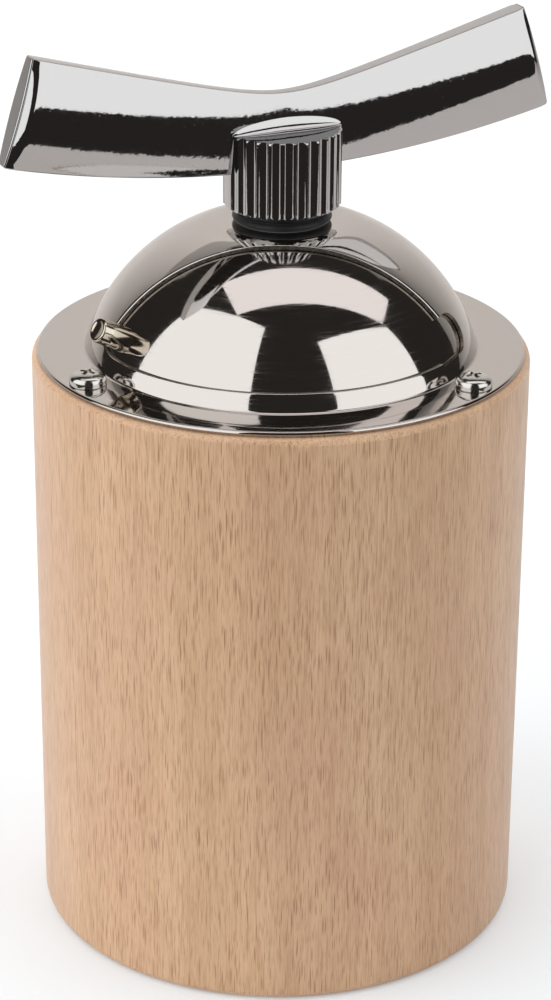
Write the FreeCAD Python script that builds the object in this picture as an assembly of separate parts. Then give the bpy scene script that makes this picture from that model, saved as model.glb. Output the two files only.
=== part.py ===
import FreeCAD, Part
import math
import os
from FreeCAD import Vector

# A hand cranked flaxseed mill: a beech body, a polished dome cover with a turning door under it,
# a cast handle on a shaft, and a steel burr pair at the bottom.
# Millimetres. +Z is up, the origin is the middle of the base, and the front faces -Y.
# An azimuth is an angle about +Z, from the front (-Y) towards +X.

# Clearances
running_gap = 0.04          # radial play of a shaft in its bush
seat_gap = 0.02             # radial play of a piece that sits fixed in a hole
face_gap = 0.05             # play between flat faces that slide on each other
part_gap = 0.30             # free space round a piece that only has to pass by
cut_past = 1.0              # how far a cutting tool reaches past what it cuts

# Broken edges and fasteners in general
edge_break = 0.4            # small rounds and bevels on turned pieces
nut_bevel = 0.9             # share of a nut's corners that is turned away
screw_tip = 0.2             # radius of a screw's point, as a share of its shank's
screw_taper = 1.5           # length of a screw's point, in shank radii

# Wooden body
body_radius = 35.0
body_height = 85.5
body_top_round = 0.9
body_base_round = 1.4
body_wall = 9.0             # round the seed chamber
chamber_floor = 46.0        # height where the straight wall of the seed chamber ends
chamber_round = 3.0
recess_wall = 10.0          # round the hollow under the body that holds the bridge
recess_depth = 12.0

# Dome cover, one pressing: flange, collar, dome and a flat crown
sheet = 0.8
flange_inset = 0.8          # the flange stays this far inside the edge of the wood
flange_edge_round = 0.35
flange_width = 6.6          # from the foot of the dome to the edge of the flange
dome_drop = 8.12            # centre of the dome's arc below the top of the flange
crown_height = 17.95        # flat crown above the top of the flange
crown_flat = 8.18           # radius of the flat crown
crown_blend = 10.0          # radius between the dome's arc and the flat crown
collar_fillet = 0.45
window_plane = 10.6         # the window is cut off by an upright plane this far in front of the axis
window_sill = 2.45          # lower edge of the window above the top of the flange
window_corner = 1.8
window_edge_round = 0.15    # along the upright cut
notch_radius = 2.95
notch_azimuth = 67.7
notch_height = 5.05         # middle of the notch above the top of the flange
notch_tilt = 31.0           # the knob and its notch point up by this many degrees
notch_run = 5.6             # the slot reaches this far back, into the window

# Cover screws
screw_pair_azimuth = 57.0   # the front pair; the third screw is at the back
screw_head_radius = 2.55
screw_head_height = 1.75
screw_shank_radius = 1.5
screw_length = 13.0
recess_width = 0.7          # arms of the cross recess
recess_span = 2.6
recess_drive_depth = 1.0

# Door under the dome
door_gap = 0.4              # space between the cover and the door
door_sheet = 0.8
door_step = 0.4             # the rim of the door lies this much deeper, to slide under the cover
door_half_angle = 65.5      # from the middle of the door to the step
door_rim_angle = 78.0       # from the middle of the door to its edge
door_hub_radius = 8.6
door_hem = 0.35             # lower edge of the door above the top of the flange
door_overlap = 1.0          # degrees that the rims reach under the raised part

# Door knob
knob_azimuth = -58.2
knob_height = 4.55          # foot of the knob above the top of the flange
knob_radius = 1.75
knob_length = 5.5
knob_chamfer = 0.3
knob_stud_radius = 1.2
knob_nut_flats = 4.0
knob_nut_height = 1.6
knob_nut_gap = 0.20         # the flat nut clears the curved sheet by this
knob_stud_tail = 0.6        # how far the stud stands out of its nut

# Neck: bush, nut, washers and seal
bush_radius = 4.0
bush_bore_wall = 0.96       # wall of the bush between its thread and its bore
bush_head_radius = 5.2
bush_head_height = 0.95
bush_length = 6.25          # below the crown
bush_edge_round = 0.2
bush_nut_flats = 12.0
bush_nut_height = 3.0
slide_washer_radius = 8.0
spring_washer_radius = 7.0
spring_washer_sheet = 0.5
seal_wall = 1.0
seal_height = 1.4
seal_top_round = 0.4
seal_lip = 0.7              # the foot of the seal reaches this far beyond its wall
seal_lip_height = 0.75
seal_lip_round = 0.3
seal_foot_round = 0.3
seal_lift = 0.15            # the hub runs this far above the seal

# Crank handle
handle_turn = 24.2          # azimuth that the handle's face points to
hub_radius = 8.17
hub_height = 11.6
hub_chamfer = 1.45
hub_chamfer_height = 1.15
hub_top_break = 0.3
flute_count = 30
flute_radius = 0.85
flute_depth = 0.42
flute_half_angle = 80.0
wing_half_length_low = 40.6
wing_half_length_top = 36.2
wing_low_middle = 5.85      # bottom edge of the handle above the hub's foot, at the middle
wing_low_rise = 5.0         # and its rise towards the tips
wing_top_middle = 16.75
wing_top_rise = 8.45
wing_neck_length = 6.5      # half length of the dip in the top edge
wing_edge_middle = 0.95     # half width of the narrow top and bottom strips
wing_edge_tip = 1.4
wing_bulge_middle = 1.3     # half thickness of the handle
wing_bulge_tip = 2.95
wing_tip_edge = 1.05        # half width of the end face's narrow sides
wing_tip_bulge = 1.7
wing_tip_round = 1.6        # length over which the faces lean in to the end face
wing_edge_round = 0.25
wing_sections = 6           # sections along each half, up to the tip
hub_cove = 1.75             # fillet between the hub's top and the handle's face
set_screw_radius = 1.5
set_screw_length = 5.0
set_screw_socket = 1.8
set_screw_height = 5.2      # above the hub's foot

# Drive shaft
shaft_flat_depth = 0.5      # of the four flats that drive the rotor
shaft_top_flat = 0.6        # depth of the flat under the set screw
shaft_into_hub = 9.8
journal_radius = 2.0

# Spring under the neck
spring_wire_radius = 0.5
spring_play = 1.0           # between the shaft and the spring
spring_turns = 6
spring_pitch = 2.1
spring_closing = 0.6        # how much the end turns are drawn together
spring_marks = 400          # points along the wire where its turns are measured
spring_seat_lip = 1.0       # the seats stand this far out round the spring
spring_seat_sheet = 0.8
clip_sheet = 0.8
clip_groove_depth = 0.6
clip_wall = 1.7             # width of a snap ring
clip_mouth = 3.2            # width of its opening

# Burr housing
housing_wall = 3.0          # round the stator
housing_flange_play = 1.6   # between the flange and the wall of the recess
housing_flange = 2.5
housing_height = 22.0       # above the ceiling of the recess
throat_radius = 11.0
throat_height = 3.0
funnel_lip = 1.0            # left of the wall at the funnel's rim
housing_screw_head = 2.6
housing_screw_head_height = 1.7
housing_screw_shank = 1.4
housing_screw_length = 12.0
housing_screw_turn = 0.0    # azimuth of the first of the three

# Burrs
stator_radius = 13.0
stator_height = 13.5
stator_top_bore = 10.7
stator_low_bore = 10.05
stator_teeth = 24
stator_tooth_depth = 0.9
stator_tooth_width = 1.6    # of the groove, in tooth pitches
stator_ring_sheet = 1.0
stator_ring_inner = 11.3
grind_gap = 0.35
fine_height = 3.0
rotor_height = 16.0
rotor_top_radius = 5.6
rotor_teeth = 14
rotor_tooth_depth = 1.1
rotor_tooth_width = 3.3
rotor_feeds = 4
rotor_feed_radius = 2.2     # round grooves that draw the seed down
rotor_feed_inset = 1.3      # how deep they lie in the cone
tooth_lean = 22.0

# Bridge under the burrs
bridge_width = 10.0
bridge_sheet = 2.5
bridge_end_play = 4.5       # between the bar's ends and the wall of the recess
bridge_end_flat = 1.0       # flat left between the round corners of the bar
boss_wall = 1.94            # round the lower bush
boss_rise = 2.2             # above the top of the bar
boss_drop = 2.5             # below the underside of the bar
bridge_screw_inset = 3.5    # from the bar's end to its screw
bridge_screw_head = 2.6
bridge_screw_shank = 1.5
lower_bush_wall = 1.5
lower_bush_length = 3.2
thrust_screw_radius = 2.5
thrust_screw_length = 4.6
thrust_screw_tail = 0.4     # how far the screw stands out of its nut
thrust_nut_flats = 8.0
thrust_nut_height = 2.4
ball_radius = 1.5
ball_seat = 0.5             # depth of the cup that the ball sits in
slot_width = 0.8
slot_depth = 1.0

# Heights that follow from the sizes above
flange_top = body_height + sheet
chamber_radius = body_radius - body_wall
recess_radius = body_radius - recess_wall
flange_radius = body_radius - flange_inset
dome_foot = flange_radius - flange_width
crown_z = flange_top + crown_height
dome_centre_z = flange_top - dome_drop
door_depth = sheet + door_gap
door_crown_z = crown_z - door_depth
hub_foot = crown_z + seal_height + seal_lift
hub_top = hub_foot + hub_height
shaft_radius = bush_radius - bush_bore_wall - running_gap
nut_top = door_crown_z - door_sheet - spring_washer_sheet - part_gap
bush_foot = crown_z - bush_length
recess_top = recess_depth
housing_top = recess_top + housing_height
housing_radius = stator_radius + housing_wall
housing_flange_radius = recess_radius - housing_flange_play
funnel_radius = housing_radius - funnel_lip
housing_screw_circle = (housing_radius + part_gap + housing_flange_radius) / 2
bridge_half_length = recess_radius - bridge_end_play
bridge_screw_at = bridge_half_length - bridge_screw_inset
bridge_top = recess_top - housing_flange
bridge_low = bridge_top - bridge_sheet
boss_top = bridge_top + boss_rise
boss_low = bridge_low - boss_drop
stator_top = housing_top - (funnel_radius - throat_radius) - throat_height
stator_low = stator_top - stator_height
stator_ring_low = stator_low - face_gap - stator_ring_sheet
thrust_screw_low = boss_low - thrust_nut_height - thrust_screw_tail
ball_z = thrust_screw_low + thrust_screw_length - ball_seat + ball_radius
shaft_foot = ball_z + ball_radius + face_gap
lower_bush_radius = journal_radius + running_gap + lower_bush_wall
boss_radius = lower_bush_radius + seat_gap + boss_wall
rotor_clip_low = boss_top + part_gap
rotor_low = rotor_clip_low + clip_sheet + seat_gap
rotor_top = rotor_low + rotor_height
fine_top = stator_low + fine_height
spring_mean_radius = shaft_radius + spring_play + spring_wire_radius
spring_seat_radius = spring_mean_radius + spring_wire_radius + spring_seat_lip
spring_seat_low = bush_foot - face_gap - spring_seat_sheet
spring_top = spring_seat_low - face_gap - spring_wire_radius
spring_low = spring_top - spring_turns * spring_pitch
lower_seat_low = spring_low - spring_wire_radius - face_gap - spring_seat_sheet
shaft_clip_low = lower_seat_low - seat_gap - clip_sheet

parts = {}


def heading(azimuth):
    """Level unit vector that points to an azimuth."""
    turn = math.radians(azimuth)
    return Vector(math.sin(turn), -math.cos(turn), 0)


def turned_to(shape, azimuth):
    """Copy of a shape that was made at the front, turned about the axis of the mill."""
    copy = shape.copy()
    copy.rotate(Vector(0, 0, 0), Vector(0, 0, 1), azimuth)
    return copy


def rounded(corners):
    """Closed wire of straight runs through (x, z) corners; a third value rounds a corner."""
    points = [Vector(c[0], 0, c[1]) for c in corners]
    edges = []
    first = last = None
    for i, corner in enumerate(corners):
        here = points[i]
        start = finish = here
        bow = None
        if len(corner) > 2:
            back = (points[i - 1] - here).normalize()
            ahead = (points[(i + 1) % len(points)] - here).normalize()
            half = back.getAngle(ahead) / 2
            start = here + back * (corner[2] / math.tan(half))
            finish = here + ahead * (corner[2] / math.tan(half))
            inward = (back + ahead).normalize()
            middle = here + inward * (corner[2] / math.sin(half) - corner[2])
            bow = Part.Arc(start, middle, finish).toShape()
        if last is not None:
            edges.append(Part.LineSegment(last, start).toShape())
        else:
            first = start
        if bow:
            edges.append(bow)
        last = finish
    edges.append(Part.LineSegment(last, first).toShape())
    return Part.Wire(edges)


def turned(corners):
    """Solid of revolution from (radius, height) corners."""
    face = Part.Face(rounded(corners))
    return face.revolve(Vector(0, 0, 0), Vector(0, 0, 1), 360)


def ring(inner, outer, low, high):
    """Plain ring or sleeve."""
    return turned([(inner, low), (outer, low), (outer, high), (inner, high)])


def rod(radius, low, high):
    return Part.makeCylinder(radius, high - low, Vector(0, 0, low))


def hexagon(flats, low, high):
    """Hexagonal bar with lightly turned corners at both ends."""
    corner = flats / 2 / math.cos(math.pi / 6)
    rim = [Vector(corner * math.cos(math.pi / 3 * k), corner * math.sin(math.pi / 3 * k), low)
           for k in range(7)]
    bar = Part.Face(Part.makePolygon(rim)).extrude(Vector(0, 0, high - low))
    bevel = (corner - flats / 2) * nut_bevel
    blank = turned([(0, low), (corner - bevel, low), (corner, low + bevel / 2),
                    (corner, high - bevel / 2), (corner - bevel, high), (0, high)])
    return bar.common(blank)


def wedge(first, last, radius, low, high):
    """Slice of a cylinder between two azimuths."""
    slice_ = Part.makeCylinder(radius, high - low, Vector(0, 0, low), Vector(0, 0, 1), last - first)
    return turned_to(slice_, first - 90)


def snap_ring(inner, low):
    """Open snap ring in a groove, with its mouth at the front."""
    blank = ring(inner, inner + clip_wall, low, low + clip_sheet)
    mouth = Part.makeBox(clip_mouth, inner + clip_wall, clip_sheet,
                         Vector(-clip_mouth / 2, -inner - clip_wall, low))
    return blank.cut(mouth)


def arc_edge(radius, height, reach, start, finish):
    """Arc in the XZ half plane about (radius, height), between two angles in radians."""
    def at(angle):
        return Vector(radius + reach * math.cos(angle), 0, height + reach * math.sin(angle))
    return Part.Arc(at(start), at((start + finish) / 2), at(finish)).toShape(), at(start), at(finish)


# The dome's outline: an arc from the foot, blended into the flat crown by a smaller one.
# Its centre lies off the axis, so far that the two arcs touch without a kink.
blend_z = crown_z - crown_blend
blend_rise = blend_z - dome_centre_z
span = dome_foot - crown_flat
excess = (dome_foot ** 2 + dome_drop ** 2 - crown_flat ** 2 - blend_rise ** 2 - crown_blend ** 2)
square = 4 * (span ** 2 - crown_blend ** 2)
slant = 8 * crown_blend ** 2 * crown_flat - 4 * excess * span
level = excess ** 2 - 4 * crown_blend ** 2 * (crown_flat ** 2 + blend_rise ** 2)
dome_offset = (-slant - math.sqrt(slant ** 2 - 4 * square * level)) / (2 * square)
dome_arc_radius = math.hypot(dome_foot - dome_offset, dome_drop)
blend_angle = math.atan2(blend_rise, crown_flat - dome_offset)


def dome_radius_at(height, depth):
    """Radius of the surface that lies a depth under the dome's outside."""
    return dome_offset + math.sqrt((dome_arc_radius - depth) ** 2 - (height - dome_centre_z) ** 2)


def dome_body(depth, floor):
    """Solid under the surface that lies a depth under the dome's outside, down to a floor."""
    foot = math.asin((floor - dome_centre_z) / (dome_arc_radius - depth))
    side, low_point, _ = arc_edge(dome_offset, dome_centre_z, dome_arc_radius - depth, foot, blend_angle)
    shoulder, _, high_point = arc_edge(crown_flat, blend_z, crown_blend - depth, blend_angle, math.pi / 2)
    crown = Vector(0, 0, crown_z - depth)
    centre = Vector(0, 0, floor)
    edges = [side, shoulder, Part.LineSegment(high_point, crown).toShape(),
             Part.LineSegment(crown, centre).toShape(), Part.LineSegment(centre, low_point).toShape()]
    return Part.Face(Part.Wire(edges)).revolve(Vector(0, 0, 0), Vector(0, 0, 1), 360)


def normal_frame(azimuth, height, depth):
    """Point on a surface under the dome and the outward direction there."""
    lift = math.asin((height - dome_centre_z) / (dome_arc_radius - depth))
    out = heading(azimuth)
    foot = out * dome_radius_at(height, depth) + Vector(0, 0, height)
    return foot, out * math.cos(lift) + Vector(0, 0, math.sin(lift))


# Fastener holes in the wood
flange_screw_circle = (dome_foot + collar_fillet + flange_radius) / 2
cover_screw_azimuths = [-screw_pair_azimuth, screw_pair_azimuth, 180.0]
housing_screw_azimuths = [housing_screw_turn + 120.0 * k for k in range(3)]


def make_body():
    wall = housing_radius + part_gap
    blank = turned([(recess_radius, 0, edge_break), (body_radius, 0, body_base_round),
                    (body_radius, body_height, body_top_round),
                    (chamber_radius, body_height, edge_break),
                    (chamber_radius, chamber_floor, chamber_round), (wall, housing_top), (wall, recess_top),
                    (recess_radius, recess_top)])
    holes = []
    for azimuth in cover_screw_azimuths:
        hole = rod(screw_shank_radius + seat_gap, flange_top - screw_length - part_gap, flange_top)
        hole.translate(heading(azimuth) * flange_screw_circle)
        holes.append(hole)
    for azimuth in housing_screw_azimuths:
        hole = rod(housing_screw_shank + seat_gap, bridge_top,
                   bridge_top + housing_screw_length + part_gap)
        hole.translate(heading(azimuth) * housing_screw_circle)
        holes.append(hole)
    return blank.cut(holes)


def cover_section():
    """Section of the pressing: outside from the flange to the crown, then back inside."""
    fillet_z = flange_top + collar_fillet
    reach = dome_arc_radius + collar_fillet
    fillet_x = dome_offset + math.sqrt(reach ** 2 - (fillet_z - dome_centre_z) ** 2)
    foot = math.asin((fillet_z - dome_centre_z) / reach)
    edge_x = flange_radius - flange_edge_round
    outer = [arc_edge(edge_x, flange_top - flange_edge_round, flange_edge_round, 0, math.pi / 2),
             arc_edge(fillet_x, fillet_z, collar_fillet, 1.5 * math.pi, math.pi + foot),
             arc_edge(dome_offset, dome_centre_z, dome_arc_radius, foot, blend_angle),
             arc_edge(crown_flat, blend_z, crown_blend, blend_angle, math.pi / 2)]
    inner = [arc_edge(crown_flat, blend_z, crown_blend - sheet, math.pi / 2, blend_angle),
             arc_edge(dome_offset, dome_centre_z, dome_arc_radius - sheet, blend_angle, foot),
             arc_edge(fillet_x, fillet_z, collar_fillet + sheet, math.pi + foot, 1.5 * math.pi)]
    hole = bush_radius + seat_gap
    stops = [(Vector(flange_radius, 0, body_height),) * 2]
    stops += [(start, finish) for _, start, finish in outer]
    stops += [(Vector(hole, 0, crown_z),) * 2, (Vector(hole, 0, crown_z - sheet),) * 2]
    stops += [(start, finish) for _, start, finish in inner]
    edges = [arc[0] for arc in outer + inner]
    for i, (_, finish) in enumerate(stops):
        following = stops[(i + 1) % len(stops)][0]
        if finish.distanceToPoint(following) > 1e-6:
            edges.append(Part.LineSegment(finish, following).toShape())
    return Part.Wire(Part.__sortEdges__(edges))


def window_cutter():
    """Everything in front of the window plane and above the sill, with round lower corners."""
    sill = flange_top + window_sill
    half = dome_radius_at(sill, 0)
    side = math.sqrt(half ** 2 - window_plane ** 2)
    outline = rounded([(-side, sill, window_corner), (side, sill, window_corner),
                       (side, crown_z + crown_height), (-side, crown_z + crown_height)])
    block = Part.Face(outline).extrude(Vector(0, -2 * body_radius, 0))
    block.translate(Vector(0, -window_plane, 0))
    return block


def notch_cutter():
    """Rounded slot for the knob at the right end of the window."""
    reach = dome_arc_radius
    middle = Part.makeCylinder(notch_radius, reach, Vector(0, 0, 0), Vector(0, -1, 0))
    block = Part.makeBox(notch_run, reach, 2 * notch_radius, Vector(-notch_run, -reach, -notch_radius))
    slot = middle.fuse(block)
    slot.translate(Vector(0, -reach / 2, 0))
    slot.rotate(Vector(0, 0, 0), Vector(1, 0, 0), -notch_tilt)
    foot, _ = normal_frame(notch_azimuth, flange_top + notch_height, 0)
    slot = turned_to(slot, notch_azimuth)
    out = heading(notch_azimuth) * math.cos(math.radians(notch_tilt))
    out += Vector(0, 0, math.sin(math.radians(notch_tilt)))
    slot.translate(foot - out * reach)
    return slot


def on_window_edge(edge):
    """True for the outer edges of the upright cut, right of, left of and above the window."""
    box = edge.BoundBox
    upright = box.YLength < seat_gap and abs(box.YMin + window_plane) < seat_gap
    return upright and box.XLength > window_plane and box.ZMax > crown_z - sheet


def make_cover():
    shell = Part.Face(cover_section()).revolve(Vector(0, 0, 0), Vector(0, 0, 1), 360)
    holes = []
    for azimuth in cover_screw_azimuths:
        hole = rod(screw_shank_radius + seat_gap, body_height - cut_past, flange_top + cut_past)
        hole.translate(heading(azimuth) * flange_screw_circle)
        holes.append(hole)
    cover = shell.cut([window_cutter(), notch_cutter()] + holes)
    return cover.makeFillet(window_edge_round, [edge for edge in cover.Edges if on_window_edge(edge)])


def cross_recess(top):
    """Tapered cross that a driver fits."""
    arms = []
    for turn in (0, 90):
        arm = Part.makeBox(recess_span, recess_width, recess_drive_depth,
                           Vector(-recess_span / 2, -recess_width / 2, top - recess_drive_depth))
        arm.rotate(Vector(0, 0, 0), Vector(0, 0, 1), turn)
        arms.append(arm)
    return arms[0].fuse(arms[1])


def round_screw(head_radius, head_height, shank_radius, seat, length):
    """Upright screw: domed head above the seat, shank below it."""
    bulge = (head_radius ** 2 + head_height ** 2) / (2 * head_height)
    head = Part.makeSphere(bulge, Vector(0, 0, seat + head_height - bulge))
    head = head.common(rod(head_radius, seat, seat + head_height))
    shank = turned([(0, seat + head_height / 2), (0, seat - length),
                    (shank_radius * screw_tip, seat - length),
                    (shank_radius, seat - length + screw_taper * shank_radius),
                    (shank_radius, seat + head_height / 2)])
    return head.fuse(shank).cut(cross_recess(seat + head_height))


def make_cover_screws():
    screws = []
    for azimuth in cover_screw_azimuths:
        screw = round_screw(screw_head_radius, screw_head_height, screw_shank_radius,
                            flange_top, screw_length)
        screw = turned_to(screw, azimuth / 2)
        screw.translate(heading(azimuth) * flange_screw_circle)
        screws.append(screw)
    return Part.makeCompound(screws)


def door_shell(depth, first, last):
    """Piece of the door's sheet between two azimuths."""
    floor = flange_top + door_hem
    shell = dome_body(depth, floor).cut(dome_body(depth + door_sheet, floor - cut_past))
    return shell.common(wedge(first, last, 2 * body_radius, 0, crown_z))


def make_door():
    raised = door_shell(door_depth, -door_half_angle, door_half_angle)
    inside = rod(door_hub_radius - door_step, flange_top, crown_z)
    under = door_half_angle - door_overlap
    rims = [door_shell(door_depth + door_step, -door_rim_angle, -under).cut(inside),
            door_shell(door_depth + door_step, under, door_rim_angle).cut(inside)]
    hub = rod(door_hub_radius, door_crown_z - door_sheet, door_crown_z)
    hub = hub.common(dome_body(door_depth, flange_top))
    door = raised.fuse(rims + [hub])
    hole = rod(bush_radius + running_gap, flange_top, crown_z)
    foot, out = normal_frame(knob_azimuth, flange_top + knob_height, door_depth)
    stud_hole = Part.makeCylinder(knob_stud_radius + seat_gap, 2 * knob_length, foot - out * knob_length, out)
    return door.cut([hole, stud_hole]).removeSplitter()


def along(shape, foot, out):
    """Moves a shape made on the Z axis so that it stands on a point and points outwards."""
    moved = shape.copy()
    moved.Placement = FreeCAD.Placement(foot, FreeCAD.Rotation(Vector(0, 0, 1), out))
    return moved


def make_knob():
    foot, out = normal_frame(knob_azimuth, flange_top + knob_height, door_depth)
    tail = door_sheet + knob_nut_gap + knob_nut_height + knob_stud_tail
    pin = turned([(0, -tail), (knob_stud_radius, -tail), (knob_stud_radius, 0), (knob_radius, 0),
                  (knob_radius, knob_length - knob_chamfer),
                  (knob_radius - knob_chamfer, knob_length), (0, knob_length)])
    return along(pin, foot, out)


def make_knob_nut():
    foot, out = normal_frame(knob_azimuth, flange_top + knob_height, door_depth)
    top = -door_sheet - knob_nut_gap
    nut = hexagon(knob_nut_flats, top - knob_nut_height, top)
    nut = nut.cut(rod(knob_stud_radius + seat_gap, top - knob_nut_height, top))
    return along(nut, foot, out)


def make_bush():
    head_top = crown_z + bush_head_height
    bore = shaft_radius + running_gap
    return turned([(bore, bush_foot), (bush_radius, bush_foot), (bush_radius, crown_z),
                   (bush_head_radius, crown_z), (bush_head_radius, head_top, bush_edge_round),
                   (bore, head_top, bush_edge_round)])


def make_seal():
    inner = bush_head_radius + seat_gap
    wall = inner + seal_wall
    lip_top = crown_z + seal_lip_height
    top = crown_z + seal_height
    return turned([(inner, crown_z), (wall + seal_lip, crown_z, seal_foot_round),
                   (wall + seal_lip, lip_top, seal_lip_round), (wall, lip_top),
                   (wall, top, seal_top_round), (inner, top)])


def make_spring_washer():
    """Dished washer between the door and the nut."""
    hole = bush_radius + running_gap
    low = nut_top
    rise = part_gap - face_gap
    return turned([(hole, low), (spring_washer_radius, low + rise),
                   (spring_washer_radius, low + rise + spring_washer_sheet),
                   (hole, low + spring_washer_sheet)])


def make_bush_nut():
    nut = hexagon(bush_nut_flats, nut_top - bush_nut_height, nut_top)
    return nut.cut(rod(bush_radius + seat_gap, nut_top - bush_nut_height, nut_top))


def wing_section(along_low, along_top, low, high, edge, bulge):
    """Lens-shaped section of the handle, leaning in the plane of its length and height."""
    def at(side, share):
        return Vector(along_low + (along_top - along_low) * share, side, low + (high - low) * share)
    front = Part.Arc(at(-edge, 0), at(-bulge, 0.5), at(-edge, 1)).toShape()
    back = Part.Arc(at(edge, 1), at(bulge, 0.5), at(edge, 0)).toShape()
    top = Part.LineSegment(at(-edge, 1), at(edge, 1)).toShape()
    bottom = Part.LineSegment(at(edge, 0), at(-edge, 0)).toShape()
    return Part.Wire([front, top, back, bottom])


def wing_stations():
    """Lower and upper place, heights and half widths of the handle's sections, middle to tip."""
    tip_share = 1 - wing_tip_round / wing_half_length_low
    stations = []
    for share in [tip_share * k / wing_sections for k in range(wing_sections + 1)] + [1.0]:
        top_at = wing_half_length_top * share
        lift = math.hypot(top_at, wing_neck_length) - wing_neck_length
        full = math.hypot(wing_half_length_top, wing_neck_length) - wing_neck_length
        edge = wing_edge_middle + (wing_edge_tip - wing_edge_middle) * share
        bulge = wing_bulge_middle + (wing_bulge_tip - wing_bulge_middle) * share
        if share == 1.0:
            edge, bulge = wing_tip_edge, wing_tip_bulge
        stations.append((wing_half_length_low * share, top_at,
                         hub_foot + wing_low_middle + wing_low_rise * share ** 2,
                         hub_foot + wing_top_middle + wing_top_rise * lift / full, edge, bulge))
    return stations


def at_hub_cove(edge):
    """True for the edges where the handle's faces stand on the top of the hub."""
    middle = edge.valueAt((edge.FirstParameter + edge.LastParameter) / 2)
    level = edge.BoundBox.ZLength < seat_gap and abs(middle.z - hub_top) < seat_gap
    return level and math.hypot(middle.x, middle.y) < hub_radius - edge_break


def wing_loft(stations, straight):
    """Solid through some of the handle's sections, curved or with straight sides."""
    return Part.makeLoft([wing_section(*station) for station in stations], True, straight)


def make_bar():
    """Both wings in one: curved up to the tips, then leaning in to the flat end faces."""
    half = wing_stations()
    whole = [(-s[0], -s[1]) + s[2:] for s in reversed(half[1:])] + half
    middle = wing_loft(whole[1:-1], False)
    bar = middle.fuse([wing_loft(whole[:2], True), wing_loft(whole[-2:], True)]).removeSplitter()
    return bar.makeFillet(wing_edge_round, bar.Edges)


def make_handle():
    bar = make_bar()
    hub = turned([(0, hub_foot), (hub_radius - hub_chamfer, hub_foot),
                  (hub_radius, hub_foot + hub_chamfer_height), (hub_radius, hub_top - hub_top_break),
                  (hub_radius - hub_top_break, hub_top), (0, hub_top)])
    body = bar.fuse(hub)
    body = body.makeFillet(hub_cove, [edge for edge in body.Edges if at_hub_cove(edge)])
    flutes = []
    for k in range(flute_count):
        azimuth = 360.0 / flute_count * (k + 0.5)
        off_face = min(azimuth % 180, 180 - azimuth % 180)
        if off_face < flute_half_angle:
            flute = rod(flute_radius, hub_foot, hub_top)
            flute.translate(heading(azimuth) * (hub_radius + flute_radius - flute_depth))
            flutes.append(flute.cut(bar))
    body = body.cut(flutes)
    bore = rod(shaft_radius + seat_gap, hub_foot, hub_foot + shaft_into_hub + part_gap)
    grub = Part.makeCylinder(set_screw_radius + seat_gap, 2 * hub_radius,
                             Vector(0, 0, hub_foot + set_screw_height), Vector(0, 1, 0))
    return turned_to(body.cut([bore, grub]), handle_turn)


def make_set_screw():
    """Headless screw in the back of the hub, on the shaft's flat."""
    start = shaft_radius - shaft_top_flat + seat_gap
    screw = Part.makeCylinder(set_screw_radius, set_screw_length,
                              Vector(0, start, hub_foot + set_screw_height), Vector(0, 1, 0))
    socket = hexagon(set_screw_radius, -set_screw_socket, set_screw_socket)
    socket.rotate(Vector(0, 0, 0), Vector(1, 0, 0), -90)
    socket.translate(Vector(0, start + set_screw_length, hub_foot + set_screw_height))
    return turned_to(screw.cut(socket), handle_turn)


def make_shaft():
    """Round shaft with a journal at its foot, flats for the rotor and a flat under the set screw."""
    top = hub_foot + shaft_into_hub
    rotor_groove = journal_radius - clip_groove_depth
    spring_groove = shaft_radius - clip_groove_depth
    shaft = turned([(0, shaft_foot), (journal_radius - edge_break, shaft_foot),
                    (journal_radius, shaft_foot + edge_break),
                    (journal_radius, rotor_clip_low - seat_gap), (rotor_groove, rotor_clip_low - seat_gap),
                    (rotor_groove, rotor_low), (shaft_radius, rotor_low),
                    (shaft_radius, shaft_clip_low - seat_gap), (spring_groove, shaft_clip_low - seat_gap),
                    (spring_groove, lower_seat_low), (shaft_radius, lower_seat_low),
                    (shaft_radius, top - edge_break), (shaft_radius - edge_break, top), (0, top)])
    cuts = []
    for turn in range(4):
        side = Part.makeBox(4 * shaft_radius, shaft_radius, rotor_height,
                            Vector(-2 * shaft_radius, shaft_radius - shaft_flat_depth, rotor_low))
        cuts.append(turned_to(side, 90 * turn))
    flat = Part.makeBox(4 * shaft_radius, shaft_radius, shaft_into_hub,
                        Vector(-2 * shaft_radius, shaft_radius - shaft_top_flat, hub_foot + face_gap))
    cuts.append(turned_to(flat, handle_turn))
    return shaft.cut(cuts)


def coil_point(turns):
    """Middle of the spring's wire after some turns, and its direction; the end turns lie closer."""
    angle = 2 * math.pi * turns
    wave = 2 * math.pi / spring_turns
    z = spring_low + spring_pitch * turns - spring_closing * math.sin(wave * turns)
    climb = (spring_pitch - spring_closing * wave * math.cos(wave * turns)) / (2 * math.pi)
    place = Vector(spring_mean_radius * math.cos(angle), spring_mean_radius * math.sin(angle), z)
    way = Vector(-spring_mean_radius * math.sin(angle), spring_mean_radius * math.cos(angle), climb)
    return place, way.normalize()


def arc_from(start, way, finish):
    """Arc that leaves start in a direction and ends at finish."""
    chord = finish - start
    side = (chord - way * chord.dot(way)).normalize()
    radius = chord.dot(chord) / (2 * chord.dot(side))
    centre = start + side * radius
    middle = (start + finish) * 0.5 - centre
    return Part.Arc(start, centre + middle.normalize() * abs(radius), finish).toShape()


def biarc(start, way, finish, last_way):
    """Two tangent arcs between two places with given directions."""
    gap = finish - start
    total = way + last_way
    a = 2 * (1 - way.dot(last_way))
    b = 2 * gap.dot(total)
    reach = (-b + math.sqrt(b * b + 4 * a * gap.dot(gap))) / (2 * a)
    first = start + way * reach
    second = finish - last_way * reach
    joint = (first + second) * 0.5
    return [arc_from(start, way, joint), arc_from(joint, (second - first).normalize(), finish)]


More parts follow.
